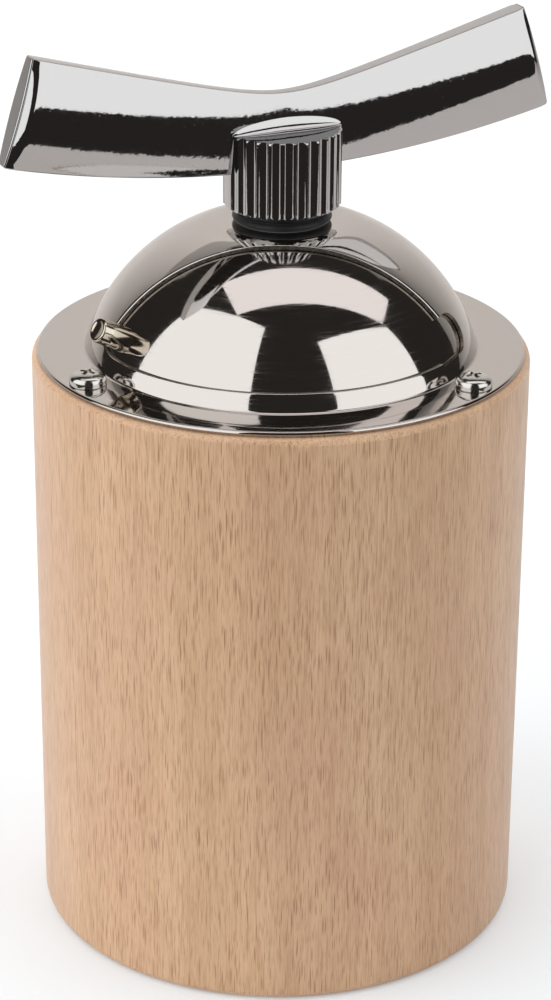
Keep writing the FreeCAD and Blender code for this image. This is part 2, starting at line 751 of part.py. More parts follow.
def make_spring():
    steps = 4 * spring_turns
    edges = []
    for k in range(steps):
        start, way = coil_point(k / 4)
        finish, last_way = coil_point((k + 1) / 4)
        edges += biarc(start, way, finish, last_way)
    path = Part.Wire(edges)
    start, way = coil_point(0)
    section = Part.Wire(Part.makeCircle(spring_wire_radius, start, way))
    spring = path.makePipeShell([section], True, False)
    marks = [coil_point(spring_turns * k / spring_marks)[0] for k in range(spring_marks + 1)]
    half_turn = spring_marks // spring_turns // 2
    least = min(first.distanceToPoint(other) for i, first in enumerate(marks)
                for other in marks[i + half_turn:]) - 2 * spring_wire_radius
    ideal = math.pi * spring_wire_radius ** 2 * path.Length
    print("spring: least gap", round(least, 3), "volume share", round(spring.Volume / ideal, 4))
    return spring


def make_housing():
    pocket = stator_radius + seat_gap
    groove = pocket + clip_groove_depth
    blank = turned([(pocket, bridge_top), (housing_flange_radius, bridge_top),
                    (housing_flange_radius, recess_top), (housing_radius, recess_top),
                    (housing_radius, housing_top), (funnel_radius, housing_top),
                    (throat_radius, housing_top - funnel_radius + throat_radius),
                    (throat_radius, stator_top), (pocket, stator_top),
                    (pocket, stator_low), (groove, stator_low), (groove, stator_ring_low),
                    (pocket, stator_ring_low)])
    holes = []
    for azimuth in housing_screw_azimuths:
        hole = rod(housing_screw_shank + seat_gap, bridge_top, recess_top)
        hole.translate(heading(azimuth) * housing_screw_circle)
        holes.append(hole)
    for side in (-1, 1):
        hole = rod(bridge_screw_shank + seat_gap, bridge_top, recess_top)
        hole.translate(Vector(side * bridge_screw_at, 0, 0))
        holes.append(hole)
    return blank.cut(holes)


def upward_screw(head_radius, head_height, shank_radius, seat, length):
    """Screw whose head hangs under a face."""
    screw = round_screw(head_radius, head_height, shank_radius, 0, length)
    screw.rotate(Vector(0, 0, 0), Vector(1, 0, 0), 180)
    screw.translate(Vector(0, 0, seat))
    return screw


def make_housing_screws():
    screws = []
    for azimuth in housing_screw_azimuths:
        screw = upward_screw(housing_screw_head, housing_screw_head_height, housing_screw_shank,
                             bridge_top, housing_screw_length)
        screw.translate(heading(azimuth) * housing_screw_circle)
        screws.append(screw)
    return Part.makeCompound(screws)


def make_bridge_screws():
    length = recess_top - bridge_low - face_gap
    screws = []
    for side in (-1, 1):
        screw = upward_screw(bridge_screw_head, housing_screw_head_height, bridge_screw_shank,
                             bridge_low, length)
        screw.translate(Vector(side * bridge_screw_at, 0, 0))
        screws.append(screw)
    return Part.makeCompound(screws)


def tooth_groove(depth, length, width):
    """Upright three-cornered bar, its sharp edge towards +Y at depth."""
    corner = Part.makePolygon([Vector(-width / 2, 0, 0), Vector(width / 2, 0, 0), Vector(0, depth, 0),
                               Vector(-width / 2, 0, 0)])
    return Part.Face(corner).extrude(Vector(0, 0, length))


def make_stator():
    blank = turned([(stator_low_bore, stator_low), (stator_radius, stator_low),
                    (stator_radius, stator_top), (stator_top_bore, stator_top),
                    (stator_low_bore, fine_top)])
    cuts = []
    pitch = 2 * math.pi * stator_low_bore / stator_teeth
    inner = stator_low_bore - stator_tooth_depth
    for k in range(stator_teeth):
        groove = tooth_groove(2 * stator_tooth_depth, 2 * stator_height, stator_tooth_width * pitch)
        groove.translate(Vector(0, inner, -stator_height))
        groove.rotate(Vector(0, 0, 0), Vector(0, 1, 0), tooth_lean)
        groove.translate(Vector(0, 0, (stator_low + stator_top) / 2))
        cuts.append(turned_to(groove, 360.0 / stator_teeth * k))
    return blank.cut(cuts)


def make_stator_ring():
    outer = stator_radius + clip_groove_depth
    blank = ring(stator_ring_inner, outer, stator_ring_low, stator_ring_low + stator_ring_sheet)
    mouth = Part.makeBox(clip_mouth, outer, stator_ring_sheet,
                         Vector(-clip_mouth / 2, -outer, stator_ring_low))
    return blank.cut(mouth)


def make_rotor():
    low_radius = stator_low_bore - grind_gap
    neck = (rotor_top + fine_top) / 2
    cone_top = neck + rotor_feed_radius
    blank = turned([(0, rotor_low), (low_radius - edge_break, rotor_low),
                    (low_radius, rotor_low + edge_break), (low_radius, fine_top),
                    (rotor_top_radius, cone_top), (rotor_top_radius, rotor_top - edge_break),
                    (rotor_top_radius - edge_break, rotor_top), (0, rotor_top)])
    cuts = []
    slope = math.degrees(math.atan2(low_radius - rotor_top_radius, cone_top - fine_top))
    for k in range(rotor_teeth):
        groove = tooth_groove(-2 * rotor_tooth_depth, 2 * rotor_height, rotor_tooth_width)
        groove.translate(Vector(0, rotor_tooth_depth, -rotor_height))
        groove.rotate(Vector(0, 0, 0), Vector(0, 1, 0), -tooth_lean)
        groove.rotate(Vector(0, 0, 0), Vector(1, 0, 0), slope / 2)
        groove.translate(Vector(0, low_radius, fine_top))
        cuts.append(turned_to(groove, 360.0 / rotor_teeth * k))
    for k in range(rotor_feeds):
        groove = rod(rotor_feed_radius, -rotor_height / 2, rotor_height)
        groove.rotate(Vector(0, 0, 0), Vector(0, 1, 0), -2 * tooth_lean)
        groove.translate(Vector(0, rotor_top_radius + rotor_feed_radius - rotor_feed_inset, neck))
        cuts.append(turned_to(groove, 360.0 / rotor_feeds * k))
    size = 2 * (shaft_radius - shaft_flat_depth + running_gap)
    square = Part.makeBox(size, size, rotor_height, Vector(-size / 2, -size / 2, rotor_low))
    core = square.common(rod(shaft_radius + running_gap, rotor_low, rotor_top))
    return blank.cut(cuts).cut(core)


def make_bridge():
    bar = Part.makeBox(2 * bridge_half_length, bridge_width, bridge_sheet,
                       Vector(-bridge_half_length, -bridge_width / 2, bridge_low))
    upright = [edge for edge in bar.Edges if abs(edge.tangentAt(edge.FirstParameter).z) > 0.9]
    bar = bar.makeFillet((bridge_width - bridge_end_flat) / 2, upright)
    boss = rod(boss_radius, boss_low, boss_top)
    bush_hole = rod(lower_bush_radius + seat_gap, boss_top - lower_bush_length, boss_top)
    screw_hole = rod(thrust_screw_radius + seat_gap, boss_low, boss_top)
    holes = [bush_hole, screw_hole]
    for side in (-1, 1):
        hole = rod(bridge_screw_shank + seat_gap, bridge_low, bridge_top)
        hole.translate(Vector(side * bridge_screw_at, 0, 0))
        holes.append(hole)
    return bar.fuse(boss).cut(holes).removeSplitter()


def make_thrust_screw():
    top = thrust_screw_low + thrust_screw_length
    screw = turned([(0, thrust_screw_low), (thrust_screw_radius - edge_break, thrust_screw_low),
                    (thrust_screw_radius, thrust_screw_low + edge_break), (thrust_screw_radius, top),
                    (0, top)])
    slot = Part.makeBox(2 * thrust_screw_radius, slot_width, slot_depth,
                        Vector(-thrust_screw_radius, -slot_width / 2, thrust_screw_low))
    cup = Part.makeSphere(ball_radius + seat_gap, Vector(0, 0, ball_z))
    return screw.cut([slot, cup])


def make_thrust_nut():
    nut = hexagon(thrust_nut_flats, boss_low - thrust_nut_height, boss_low)
    return nut.cut(rod(thrust_screw_radius + seat_gap, boss_low - thrust_nut_height, boss_low))


parts["wooden_body"] = make_body()
parts["dome_cover"] = make_cover()
parts["cover_screws"] = make_cover_screws()
parts["fill_door"] = make_door()
parts["door_knob"] = make_knob()
parts["knob_nut"] = make_knob_nut()
parts["neck_bush"] = make_bush()
parts["neck_seal"] = make_seal()
parts["door_slide_washer"] = ring(bush_radius + running_gap, slide_washer_radius,
                                  door_crown_z + face_gap, crown_z - sheet)
parts["door_spring_washer"] = make_spring_washer()
parts["bush_nut"] = make_bush_nut()
parts["crank_handle"] = make_handle()
parts["handle_set_screw"] = make_set_screw()
parts["drive_shaft"] = make_shaft()
parts["shaft_spring"] = make_spring()
parts["spring_top_washer"] = ring(shaft_radius + running_gap, spring_seat_radius, spring_seat_low,
                                  spring_seat_low + spring_seat_sheet)
parts["spring_lower_washer"] = ring(shaft_radius + seat_gap, spring_seat_radius, lower_seat_low,
                                    lower_seat_low + spring_seat_sheet)
parts["shaft_clip"] = snap_ring(shaft_radius - clip_groove_depth + seat_gap, shaft_clip_low)
parts["burr_housing"] = make_housing()
parts["housing_screws"] = make_housing_screws()
parts["stator_burr"] = make_stator()
parts["stator_ring"] = make_stator_ring()
parts["rotor_burr"] = make_rotor()
parts["rotor_clip"] = snap_ring(journal_radius - clip_groove_depth + seat_gap, rotor_clip_low)
parts["lower_bridge"] = make_bridge()
parts["bridge_screws"] = make_bridge_screws()
parts["lower_bush"] = ring(journal_radius + running_gap, lower_bush_radius,
                           boss_top - lower_bush_length, boss_top)
parts["thrust_ball"] = Part.makeSphere(ball_radius, Vector(0, 0, ball_z))
parts["thrust_screw"] = make_thrust_screw()
parts["thrust_lock_nut"] = make_thrust_nut()

os.makedirs("parts", exist_ok=True)
for name, shape in parts.items():
    shape.exportStep("parts/" + name + ".step")
    print(name, len(shape.Solids), round(shape.Volume, 2), shape.isValid())
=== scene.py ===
# %% [markdown]
# # Dressing a hand cranked flaxseed mill
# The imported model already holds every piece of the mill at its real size. This lesson gives each piece
# its finish, builds the six pieces that are seen best once more with finer rounds, and sets up the camera
# and the light. Lengths are metres, +Z is up and the front faces -Y.

# %% Load the frame
import math

import bmesh
import bpy
from mathutils import Matrix, Vector


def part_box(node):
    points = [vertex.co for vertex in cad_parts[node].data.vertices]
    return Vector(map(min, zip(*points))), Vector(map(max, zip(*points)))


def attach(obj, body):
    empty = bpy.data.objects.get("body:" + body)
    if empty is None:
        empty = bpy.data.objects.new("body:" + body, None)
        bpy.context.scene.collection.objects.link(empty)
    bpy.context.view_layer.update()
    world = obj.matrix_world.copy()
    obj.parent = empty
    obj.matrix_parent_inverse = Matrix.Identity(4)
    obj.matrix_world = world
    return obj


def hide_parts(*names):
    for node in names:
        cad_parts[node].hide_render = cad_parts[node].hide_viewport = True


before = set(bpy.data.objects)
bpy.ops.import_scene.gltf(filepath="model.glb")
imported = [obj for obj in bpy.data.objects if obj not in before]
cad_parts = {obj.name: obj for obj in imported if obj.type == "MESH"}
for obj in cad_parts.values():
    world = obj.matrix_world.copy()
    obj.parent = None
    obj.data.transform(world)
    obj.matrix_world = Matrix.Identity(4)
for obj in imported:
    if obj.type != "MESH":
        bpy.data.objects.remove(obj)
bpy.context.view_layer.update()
mm = 0.001

# %% [markdown]
# ## Sizes read from the frame
# The CAD pieces stay where they are, so the new ones start from their boxes: the flange, the crown of the
# dome and, later, the foot of the hub. What a box doesn't tell, such as where the knob stands, is typed in
# as a measure of the mill.

# %% Measure the mill
def heading(azimuth):
    """Level unit vector that points to an azimuth, from the front towards +X."""
    turn = math.radians(azimuth)
    return Vector((math.sin(turn), -math.cos(turn), 0))


body_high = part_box("wooden_body")[1]
cover_low, cover_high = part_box("dome_cover")
sheet_thickness = 0.8 * mm
flange_top = cover_low.z + sheet_thickness
crown_top = cover_high.z
knob_azimuth = -58.2
knob_foot = heading(knob_azimuth) * 24.37 * mm + Vector((0, 0, flange_top + 4.55 * mm))
knob_lift = math.radians(28.86)
knob_direction = heading(knob_azimuth) * math.cos(knob_lift) + Vector((0, 0, math.sin(knob_lift)))
print("body", round(body_high.x / mm, 1), "x", round(body_high.z / mm, 1), "mm")

# %% [markdown]
# ## Small helpers for materials
# A material is a tree of nodes. These helpers add one node each and return its output, so that a finish
# reads from top to bottom like a recipe.


# %% Helpers for node trees
def linear(red, green, blue):
    """Colour of 0 to 255 as a screen shows it, turned into the light that the renderer counts in."""
    def channel(value):
        share = value / 255
        return share / 12.92 if share < 0.04045 else ((share + 0.055) / 1.055) ** 2.4
    return channel(red), channel(green), channel(blue), 1.0


def new_finish(name, color, metallic, roughness):
    """Material with plain values on its shader; what varies is linked in afterwards."""
    finish = bpy.data.materials.new(name)
    finish.use_nodes = True
    shader = finish.node_tree.nodes["Principled BSDF"]
    shader.inputs["Base Color"].default_value = color
    shader.inputs["Metallic"].default_value = metallic
    shader.inputs["Roughness"].default_value = roughness
    return finish, shader


def link(finish, source, target):
    finish.node_tree.links.new(source, target)


def pattern_space(finish, across, along=None):
    """Object coordinates in steps of so many millimetres, across the Z axis and along it."""
    tree = finish.node_tree
    place = tree.nodes.new("ShaderNodeTexCoord")
    mapping = tree.nodes.new("ShaderNodeMapping")
    level, upright = 1 / (across * mm), 1 / ((along or across) * mm)
    mapping.inputs["Scale"].default_value = (level, level, upright)
    link(finish, place.outputs["Object"], mapping.inputs["Vector"])
    return mapping.outputs["Vector"]


def noise(finish, space, detail=2.0, roughness=0.5):
    node = finish.node_tree.nodes.new("ShaderNodeTexNoise")
    node.inputs["Scale"].default_value = 1.0
    node.inputs["Detail"].default_value = detail
    node.inputs["Roughness"].default_value = roughness
    link(finish, space, node.inputs["Vector"])
    return node.outputs["Fac"]


def cells(finish, space):
    """Distance to the nearest of many scattered points."""
    node = finish.node_tree.nodes.new("ShaderNodeTexVoronoi")
    node.inputs["Scale"].default_value = 1.0
    link(finish, space, node.inputs["Vector"])
    return node.outputs["Distance"]


def stretch(finish, value, low, high, to_low=0.0, to_high=1.0):
    """Maps a range of values to another one, and clamps what lies outside."""
    node = finish.node_tree.nodes.new("ShaderNodeMapRange")
    node.inputs["From Min"].default_value = low
    node.inputs["From Max"].default_value = high
    node.inputs["To Min"].default_value = to_low
    node.inputs["To Max"].default_value = to_high
    link(finish, value, node.inputs["Value"])
    return node.outputs["Result"]


def arithmetic(finish, operation, first, second):
    """One sum or product; each side is an output of a node or a number."""
    node = finish.node_tree.nodes.new("ShaderNodeMath")
    node.operation = operation
    for socket, side in zip(node.inputs, (first, second)):
        if isinstance(side, (int, float)):
            socket.default_value = side
        else:
            link(finish, side, socket)
    return node.outputs["Value"]


def blend_colors(finish, share, first, second):
    """Colour between two others; each of them is an output of a node or a plain colour."""
    node = finish.node_tree.nodes.new("ShaderNodeMix")
    node.data_type = "RGBA"
    link(finish, share, node.inputs["Factor"])
    for name, side in (("A", first), ("B", second)):
        target = [s for s in node.inputs if s.name == name and s.type == "RGBA"][0]
        if isinstance(side, tuple):
            target.default_value = side
        else:
            link(finish, side, target)
    return [s for s in node.outputs if s.type == "RGBA"][0]


def raise_bumps(finish, shader, height, depth, strength=1.0):
    """Turns a height pattern into small bumps; depth is what a height of 1 stands for."""
    node = finish.node_tree.nodes.new("ShaderNodeBump")
    node.inputs["Strength"].default_value = strength
    node.inputs["Distance"].default_value = depth
    link(finish, height, node.inputs["Height"])
    link(finish, node.outputs["Normal"], shader.inputs["Normal"])


# %% [markdown]
# ## Beech
# Beech is pale, even wood. What shows on a turned body are the rays: thin dark flecks a few millimetres
# long, all along the grain. Scattered points, stretched along Z, give each fleck its tapered shape, and
# three layers of them in different sizes keep the pattern from repeating.


# %% Flecks of the rays
def fleck_layer(finish, width, length, core, fade):
    """Tapered strokes along Z, spaced by so many millimetres; core and fade are shares of that space."""
    return stretch(finish, cells(finish, pattern_space(finish, width, length)), core, fade, 1.0, 0.0)


def make_flecks(finish):
    """Long, middling and fine flecks in one pattern, fainter where the wood is plain."""
    long_ones = fleck_layer(finish, 0.62, 12.0, 0.09, 0.18)
    middling = fleck_layer(finish, 0.37, 6.8, 0.14, 0.27)
    fine = arithmetic(finish, "MULTIPLY", fleck_layer(finish, 0.26, 4.4, 0.12, 0.27), 0.75)
    strokes = arithmetic(finish, "MAXIMUM", arithmetic(finish, "MAXIMUM", long_ones, middling), fine)
    plain = noise(finish, pattern_space(finish, 9, 16))
    return arithmetic(finish, "MULTIPLY", strokes, stretch(finish, plain, 0.3, 0.6, 0.55, 1.0))


# %% [markdown]
# Under the flecks lie fine fibres, soft upright bands of growth and, very faint, warmer clouds. The
# surface is sanded and oiled: a broad sheen, rougher along the fibres, with the flecks slightly open.

# %% Beech
def make_beech():
    finish, shader = new_finish("beech", linear(196, 160, 128), 0.0, 0.42)
    shader.inputs["IOR"].default_value = 1.5
    shader.inputs["Sheen Weight"].default_value = 0.35
    shader.inputs["Sheen Roughness"].default_value = 0.45
    fibres = noise(finish, pattern_space(finish, 0.35, 9), detail=4.0, roughness=0.7)
    hairs = noise(finish, pattern_space(finish, 0.13, 3), roughness=0.6)
    bands = noise(finish, pattern_space(finish, 6, 120), detail=3.0)
    clouds = noise(finish, pattern_space(finish, 16, 24), detail=1.0)
    tone = blend_colors(finish, stretch(finish, bands, 0.3, 0.7), linear(200, 164, 129),
                        linear(216, 181, 146))
    tone = blend_colors(finish, stretch(finish, clouds, 0.45, 0.75, 0.0, 0.5), tone,
                        linear(205, 163, 137))
    tone = blend_colors(finish, stretch(finish, fibres, 0.45, 0.68, 0.0, 0.6), tone,
                        linear(177, 136, 102))
    tone = blend_colors(finish, stretch(finish, hairs, 0.5, 0.68, 0.0, 0.65), tone,
                        linear(168, 127, 94))
    flecks = make_flecks(finish)
    tone = blend_colors(finish, arithmetic(finish, "MULTIPLY", flecks, 0.9), tone, linear(154, 110, 78))
    link(finish, tone, shader.inputs["Base Color"])
    link(finish, stretch(finish, fibres, 0.3, 0.7, 0.36, 0.5), shader.inputs["Roughness"])
    raise_bumps(finish, shader, arithmetic(finish, "SUBTRACT", fibres, flecks), 0.03 * mm, 0.6)
    return finish


beech = make_beech()
print(beech.name, "has", len(beech.node_tree.nodes), "nodes")

# %% [markdown]
# ## Polished sheet
# The cover and the door are polished on a spindle, so their finest marks are rings about the Z axis: a
# pattern that changes quickly with the height and the distance from the axis, and hardly along the ring.
# The marks only show where the metal mirrors something dark, so they sit in the roughness and in bumps
# of less than a thousandth of a millimetre. The edge of the window has a finish of its own.


# %% Turning marks
def turned_space(finish, fine, along):
    """Space for a pattern of rings about Z: distance from the axis, height, and a little of the place."""
    tree = finish.node_tree
    place = tree.nodes.new("ShaderNodeTexCoord").outputs["Object"]
    parts = tree.nodes.new("ShaderNodeSeparateXYZ")
    link(finish, place, parts.inputs["Vector"])
    level = tree.nodes.new("ShaderNodeVectorMath")
    level.operation = "MULTIPLY"
    level.inputs[1].default_value = (1, 1, 0)
    link(finish, place, level.inputs[0])
    reach = tree.nodes.new("ShaderNodeVectorMath")
    reach.operation = "LENGTH"
    link(finish, level.outputs["Vector"], reach.inputs[0])
    rings = tree.nodes.new("ShaderNodeCombineXYZ")
    link(finish, arithmetic(finish, "MULTIPLY", reach.outputs["Value"], 1 / fine), rings.inputs["X"])
    link(finish, arithmetic(finish, "MULTIPLY", parts.outputs["Z"], 1 / fine), rings.inputs["Y"])
    link(finish, arithmetic(finish, "MULTIPLY", parts.outputs["X"], 1 / along), rings.inputs["Z"])
    return rings.outputs["Vector"]


def make_polished_steel():
    finish, shader = new_finish("polished_steel", (0.62, 0.59, 0.565, 1), 1.0, 0.05)
    marks = noise(finish, turned_space(finish, 0.11 * mm, 7 * mm), detail=3.0, roughness=0.6)
    haze = noise(finish, pattern_space(finish, 7), detail=3.0)
    rough = arithmetic(finish, "ADD", stretch(finish, marks, 0.5, 0.75, 0.0, 0.14),
                       stretch(finish, haze, 0.4, 0.7, 0.03, 0.06))
    link(finish, rough, shader.inputs["Roughness"])
    raise_bumps(finish, shader, marks, 0.0007 * mm, 0.5)
    return finish


def make_sheared_steel():
    """Edge of the sheet as the press tore it: brown-grey, dull and rough."""
    finish, shader = new_finish("sheared_steel", (0.3, 0.26, 0.22, 1), 1.0, 0.4)
    torn = noise(finish, pattern_space(finish, 0.25), detail=4.0, roughness=0.7)
    link(finish, blend_colors(finish, stretch(finish, torn, 0.35, 0.7), (0.15, 0.125, 0.1, 1),
                              (0.5, 0.45, 0.4, 1)), shader.inputs["Base Color"])
    link(finish, stretch(finish, torn, 0.3, 0.7, 0.3, 0.5), shader.inputs["Roughness"])
    raise_bumps(finish, shader, torn, 0.02 * mm, 0.5)
    return finish


polished_steel = make_polished_steel()
sheared_steel = make_sheared_steel()

# %% [markdown]
# ## Cast and plated metal
# The handle is a zinc casting under chrome: the plating is bright, but the skin of the casting shows
# through as soft ripples, with a few specks, which noise of two sizes and scattered points give. The flat
# on top of the hub is the same skin in a dark tone: a painted dark reflection, which stands in for the
# dark that the real flat mirrors. The knob is brass under nickel, the burrs are duller steel, and screws,
# nuts and washers are plain bright steel: one function makes these, because they only differ in colour,
# gloss and grain.


# %% Chrome, nickel and plain metals
def make_chrome(name, color):
    finish, shader = new_finish(name, color, 1.0, 0.04)
    swell = noise(finish, pattern_space(finish, 2.2), detail=2.0)
    skin = noise(finish, pattern_space(finish, 0.5), detail=2.0)
    specks = cells(finish, pattern_space(finish, 0.9))
    pits = stretch(finish, specks, 0.02, 0.09, 1.0, 0.0)
    height = arithmetic(finish, "ADD", arithmetic(finish, "MULTIPLY", swell, 0.8),
                        arithmetic(finish, "MULTIPLY", skin, 0.5))
    height = arithmetic(finish, "SUBTRACT", height, arithmetic(finish, "MULTIPLY", pits, 0.25))
    raise_bumps(finish, shader, height, 0.02 * mm, 0.5)
    rough = arithmetic(finish, "ADD", stretch(finish, skin, 0.4, 0.7, 0.03, 0.07),
                       arithmetic(finish, "MULTIPLY", pits, 0.25))
    link(finish, rough, shader.inputs["Roughness"])
    return finish


def make_bright(name, color, roughness, spread, grain, depth):
    """Bright metal with a fine even grain in its roughness and its bumps."""
    finish, shader = new_finish(name, color, 1.0, roughness)
    fine = noise(finish, pattern_space(finish, grain), detail=4.0, roughness=0.6)
    link(finish, stretch(finish, fine, 0.35, 0.7, roughness, roughness + spread),
         shader.inputs["Roughness"])
    raise_bumps(finish, shader, fine, depth * mm, 0.4)
    return finish


chrome = make_chrome("chromed_zinc", (0.555, 0.555, 0.56, 1))
# Painted dark reflection: the hub's flat gets a dark chrome in place of the dark that it mirrors.
painted_reflection_chrome = make_chrome("chromed_zinc_painted_dark", (0.07, 0.07, 0.075, 1))
print(chrome.name, "and", painted_reflection_chrome.name, "share one skin")
nickel = make_bright("nickelled_brass", (0.66, 0.60, 0.50, 1), 0.07, 0.08, 0.5, 0.003)
brass = make_bright("bearing_brass", (0.72, 0.50, 0.22, 1), 0.22, 0.2, 0.4, 0.004)
plain_steel = make_bright("plain_steel", (0.66, 0.645, 0.62, 1), 0.1, 0.12, 0.6, 0.004)
burr_steel = make_bright("burr_steel", (0.36, 0.36, 0.37, 1), 0.3, 0.25, 0.3, 0.02)

# %% [markdown]
# ## Rubber and plastics
# The ring at the neck is black rubber with a faint bloom, which a little sheen gives. The washer under
# the cover is white acetal, and the holder of the burrs is dark moulded plastic with a fine spark texture.


# %% Rubber and plastics
def make_moulded(name, dark, light, roughness, spread, grain, depth):
    """Coloured rubber or plastic: two near tones, a moulded grain and uneven gloss."""
    finish, shader = new_finish(name, dark, 0.0, roughness)
    cloud = noise(finish, pattern_space(finish, 3), detail=3.0)
    link(finish, blend_colors(finish, stretch(finish, cloud, 0.35, 0.7), dark, light),
         shader.inputs["Base Color"])
    texture = noise(finish, pattern_space(finish, grain), detail=2.0)
    link(finish, stretch(finish, texture, 0.3, 0.7, roughness, roughness + spread),
         shader.inputs["Roughness"])
    raise_bumps(finish, shader, texture, depth * mm, 0.4)
    return finish


rubber = make_moulded("black_rubber", (0.006, 0.006, 0.008, 1), (0.013, 0.013, 0.014, 1), 0.45, 0.15,
                      0.2, 0.01)
for socket, value in (("Sheen Weight", 0.35), ("Sheen Roughness", 0.4), ("IOR", 1.45)):
    rubber.node_tree.nodes["Principled BSDF"].inputs[socket].default_value = value
white_plastic = make_moulded("white_plastic", (0.76, 0.76, 0.74, 1), (0.82, 0.82, 0.80, 1), 0.35, 0.1,
                             0.15, 0.01)
dark_plastic = make_moulded("dark_plastic", (0.022, 0.022, 0.024, 1), (0.035, 0.035, 0.038, 1), 0.42, 0.15,
                            0.25, 0.02)

finish_of = {"wooden_body": beech, "dome_cover": polished_steel, "fill_door": polished_steel,
             "door_knob": nickel, "crank_handle": chrome, "neck_seal": rubber, "neck_bush": brass,
             "lower_bush": brass, "door_slide_washer": white_plastic, "burr_housing": dark_plastic,
             "stator_burr": burr_steel, "rotor_burr": burr_steel}
for name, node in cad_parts.items():
    node.data.materials.clear()
    node.data.materials.append(finish_of.get(name, plain_steel))
print(len(finish_of), "nodes have a finish of their own, the others are plain steel")

# %% [markdown]
# ## Making pieces
# Each new piece starts as a bmesh. When its shape is done, its doubles are merged and its normals turned
# outwards, edges sharper than an angle are kept crisp, and it gets its finish and the body that it moves
# with, and the CAD node that it stands for is hidden.


# %% Helpers for pieces
def is_crisp(edge, sharp_from):
    return len(edge.link_faces) == 2 and edge.calc_face_angle() > math.radians(sharp_from)


def close_up(shape):
    """Merges doubles, and only then turns the faces outwards."""
    bmesh.ops.remove_doubles(shape, verts=shape.verts, dist=0.001 * mm)
    bmesh.ops.recalc_face_normals(shape, faces=shape.faces)


def make_object(name, shape, sharp_from=35):
    """Mesh object from a bmesh, smooth apart from its crisp edges."""
    close_up(shape)
    for face in shape.faces:
        face.smooth = True
    for edge in shape.edges:
        edge.smooth = not is_crisp(edge, sharp_from)
    mesh = bpy.data.meshes.new(name)
    shape.to_mesh(mesh)
    shape.free()
    piece = bpy.data.objects.new(name, mesh)
    bpy.context.scene.collection.objects.link(piece)
    return piece


def shape_of(*pieces):
    """The meshes of some objects in one bmesh; the objects are taken out of the scene."""
    shape = bmesh.new()
    for piece in pieces:
        shape.from_mesh(piece.data)
        bpy.data.objects.remove(piece)
    return shape


def carve(piece, *cutters):
    """Takes the space of the cutters out of a piece, and the cutters out of the scene."""
    for cutter in cutters:
        cut = piece.modifiers.new("carve", "BOOLEAN")
        cut.operation = "DIFFERENCE"
        cut.solver = "EXACT"
        cut.object = cutter
    evaluated = piece.evaluated_get(bpy.context.evaluated_depsgraph_get())
    carved = bpy.data.meshes.new_from_object(evaluated)
    piece.modifiers.clear()
    piece.data = carved
    for cutter in cutters:
        bpy.data.objects.remove(cutter)


def put_on(piece, finish, body, node, second_finish=None, has_second=None):
    """Gives a piece its finish, and faces that a test picks a second one; joins it to its body."""
    piece.data.materials.clear()
    piece.data.materials.append(finish)
    if second_finish:
        piece.data.materials.append(second_finish)
        for face in piece.data.polygons:
            face.material_index = int(has_second(face.center, face.normal))
    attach(piece, body)
    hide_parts(node)
    print(piece.name, len(piece.data.polygons), "faces")


# %% [markdown]
# Two ways of making a body serve nearly all the pieces. Turned parts are a section, drawn as points of
# radius and height, spun about Z. Cast and pressed parts are rings of points, extruded one from the other.


# %% Turned bodies and skinned bodies
def arc(radius, height, reach, start, finish, steps):
    """Points (radius, height) on an arc between two angles in degrees."""
    turns = [math.radians(start + (finish - start) * k / steps) for k in range(steps + 1)]
    return [(radius + reach * math.cos(turn), height + reach * math.sin(turn)) for turn in turns]


def spun(section, steps):
    """Body of revolution; a section with a hole in its middle is drawn as a closed loop."""
    shape = bmesh.new()
    verts = [shape.verts.new((radius, 0, height)) for radius, height in section]
    edges = [shape.edges.new(pair) for pair in zip(verts, verts[1:])]
    if min(radius for radius, _ in section) > 0:
        edges.append(shape.edges.new((verts[-1], verts[0])))
    bmesh.ops.spin(shape, geom=verts + edges, axis=(0, 0, 1), cent=(0, 0, 0), angle=2 * math.pi,
                   steps=steps, use_merge=True)
    bmesh.ops.remove_doubles(shape, verts=shape.verts, dist=0.001 * mm)
    return shape


def skinned(rings):
    """Tube through rings of points, closed at both ends; each ring has as many points as the first."""
    shape = bmesh.new()
    verts = [shape.verts.new(point) for point in rings[0]]
    edges = [shape.edges.new((verts[i - 1], verts[i])) for i in range(len(verts))]
    shape.faces.new(verts)
    for ring in rings[1:]:
        grown = bmesh.ops.extrude_edge_only(shape, edges=edges)["geom"]
        edges = [item for item in grown if isinstance(item, bmesh.types.BMEdge)]
        fresh = [item for item in grown if isinstance(item, bmesh.types.BMVert)]
        for vert, point in zip(fresh, ring):
            vert.co = point
    bmesh.ops.contextual_create(shape, geom=edges)
    return shape


def stand(shape, foot, direction):
    """Stands a shape made on the Z axis on a point, along a direction."""
    turn = direction.to_track_quat("Z", "Y").to_matrix().to_4x4()
    bmesh.ops.transform(shape, matrix=Matrix.Translation(foot) @ turn, verts=shape.verts)
    return shape


def rod(radius, length, steps=64):
    """Round bar that stands on the origin."""
    return spun([(0, 0), (radius, 0), (radius, length), (0, length)], steps)


# %% [markdown]
# ## The dome cover
# One pressing of thin sheet, with a window sheared out of its front. A boolean cut would leave ragged
# slivers along the edge of the window, and they would show in the reflections. So the mesh follows the
# window: each ring of points starts and ends on its edge. Three grids make the cover, one round the
# dome, one for the band below the window, and a narrow one for the sheared edge with its rounding. Each
# is a plain grid whose points are placed by a formula. Only the notch and the screw holes are carved.
# The dome is drawn thinner than the flange, because the press stretches the sheet there.

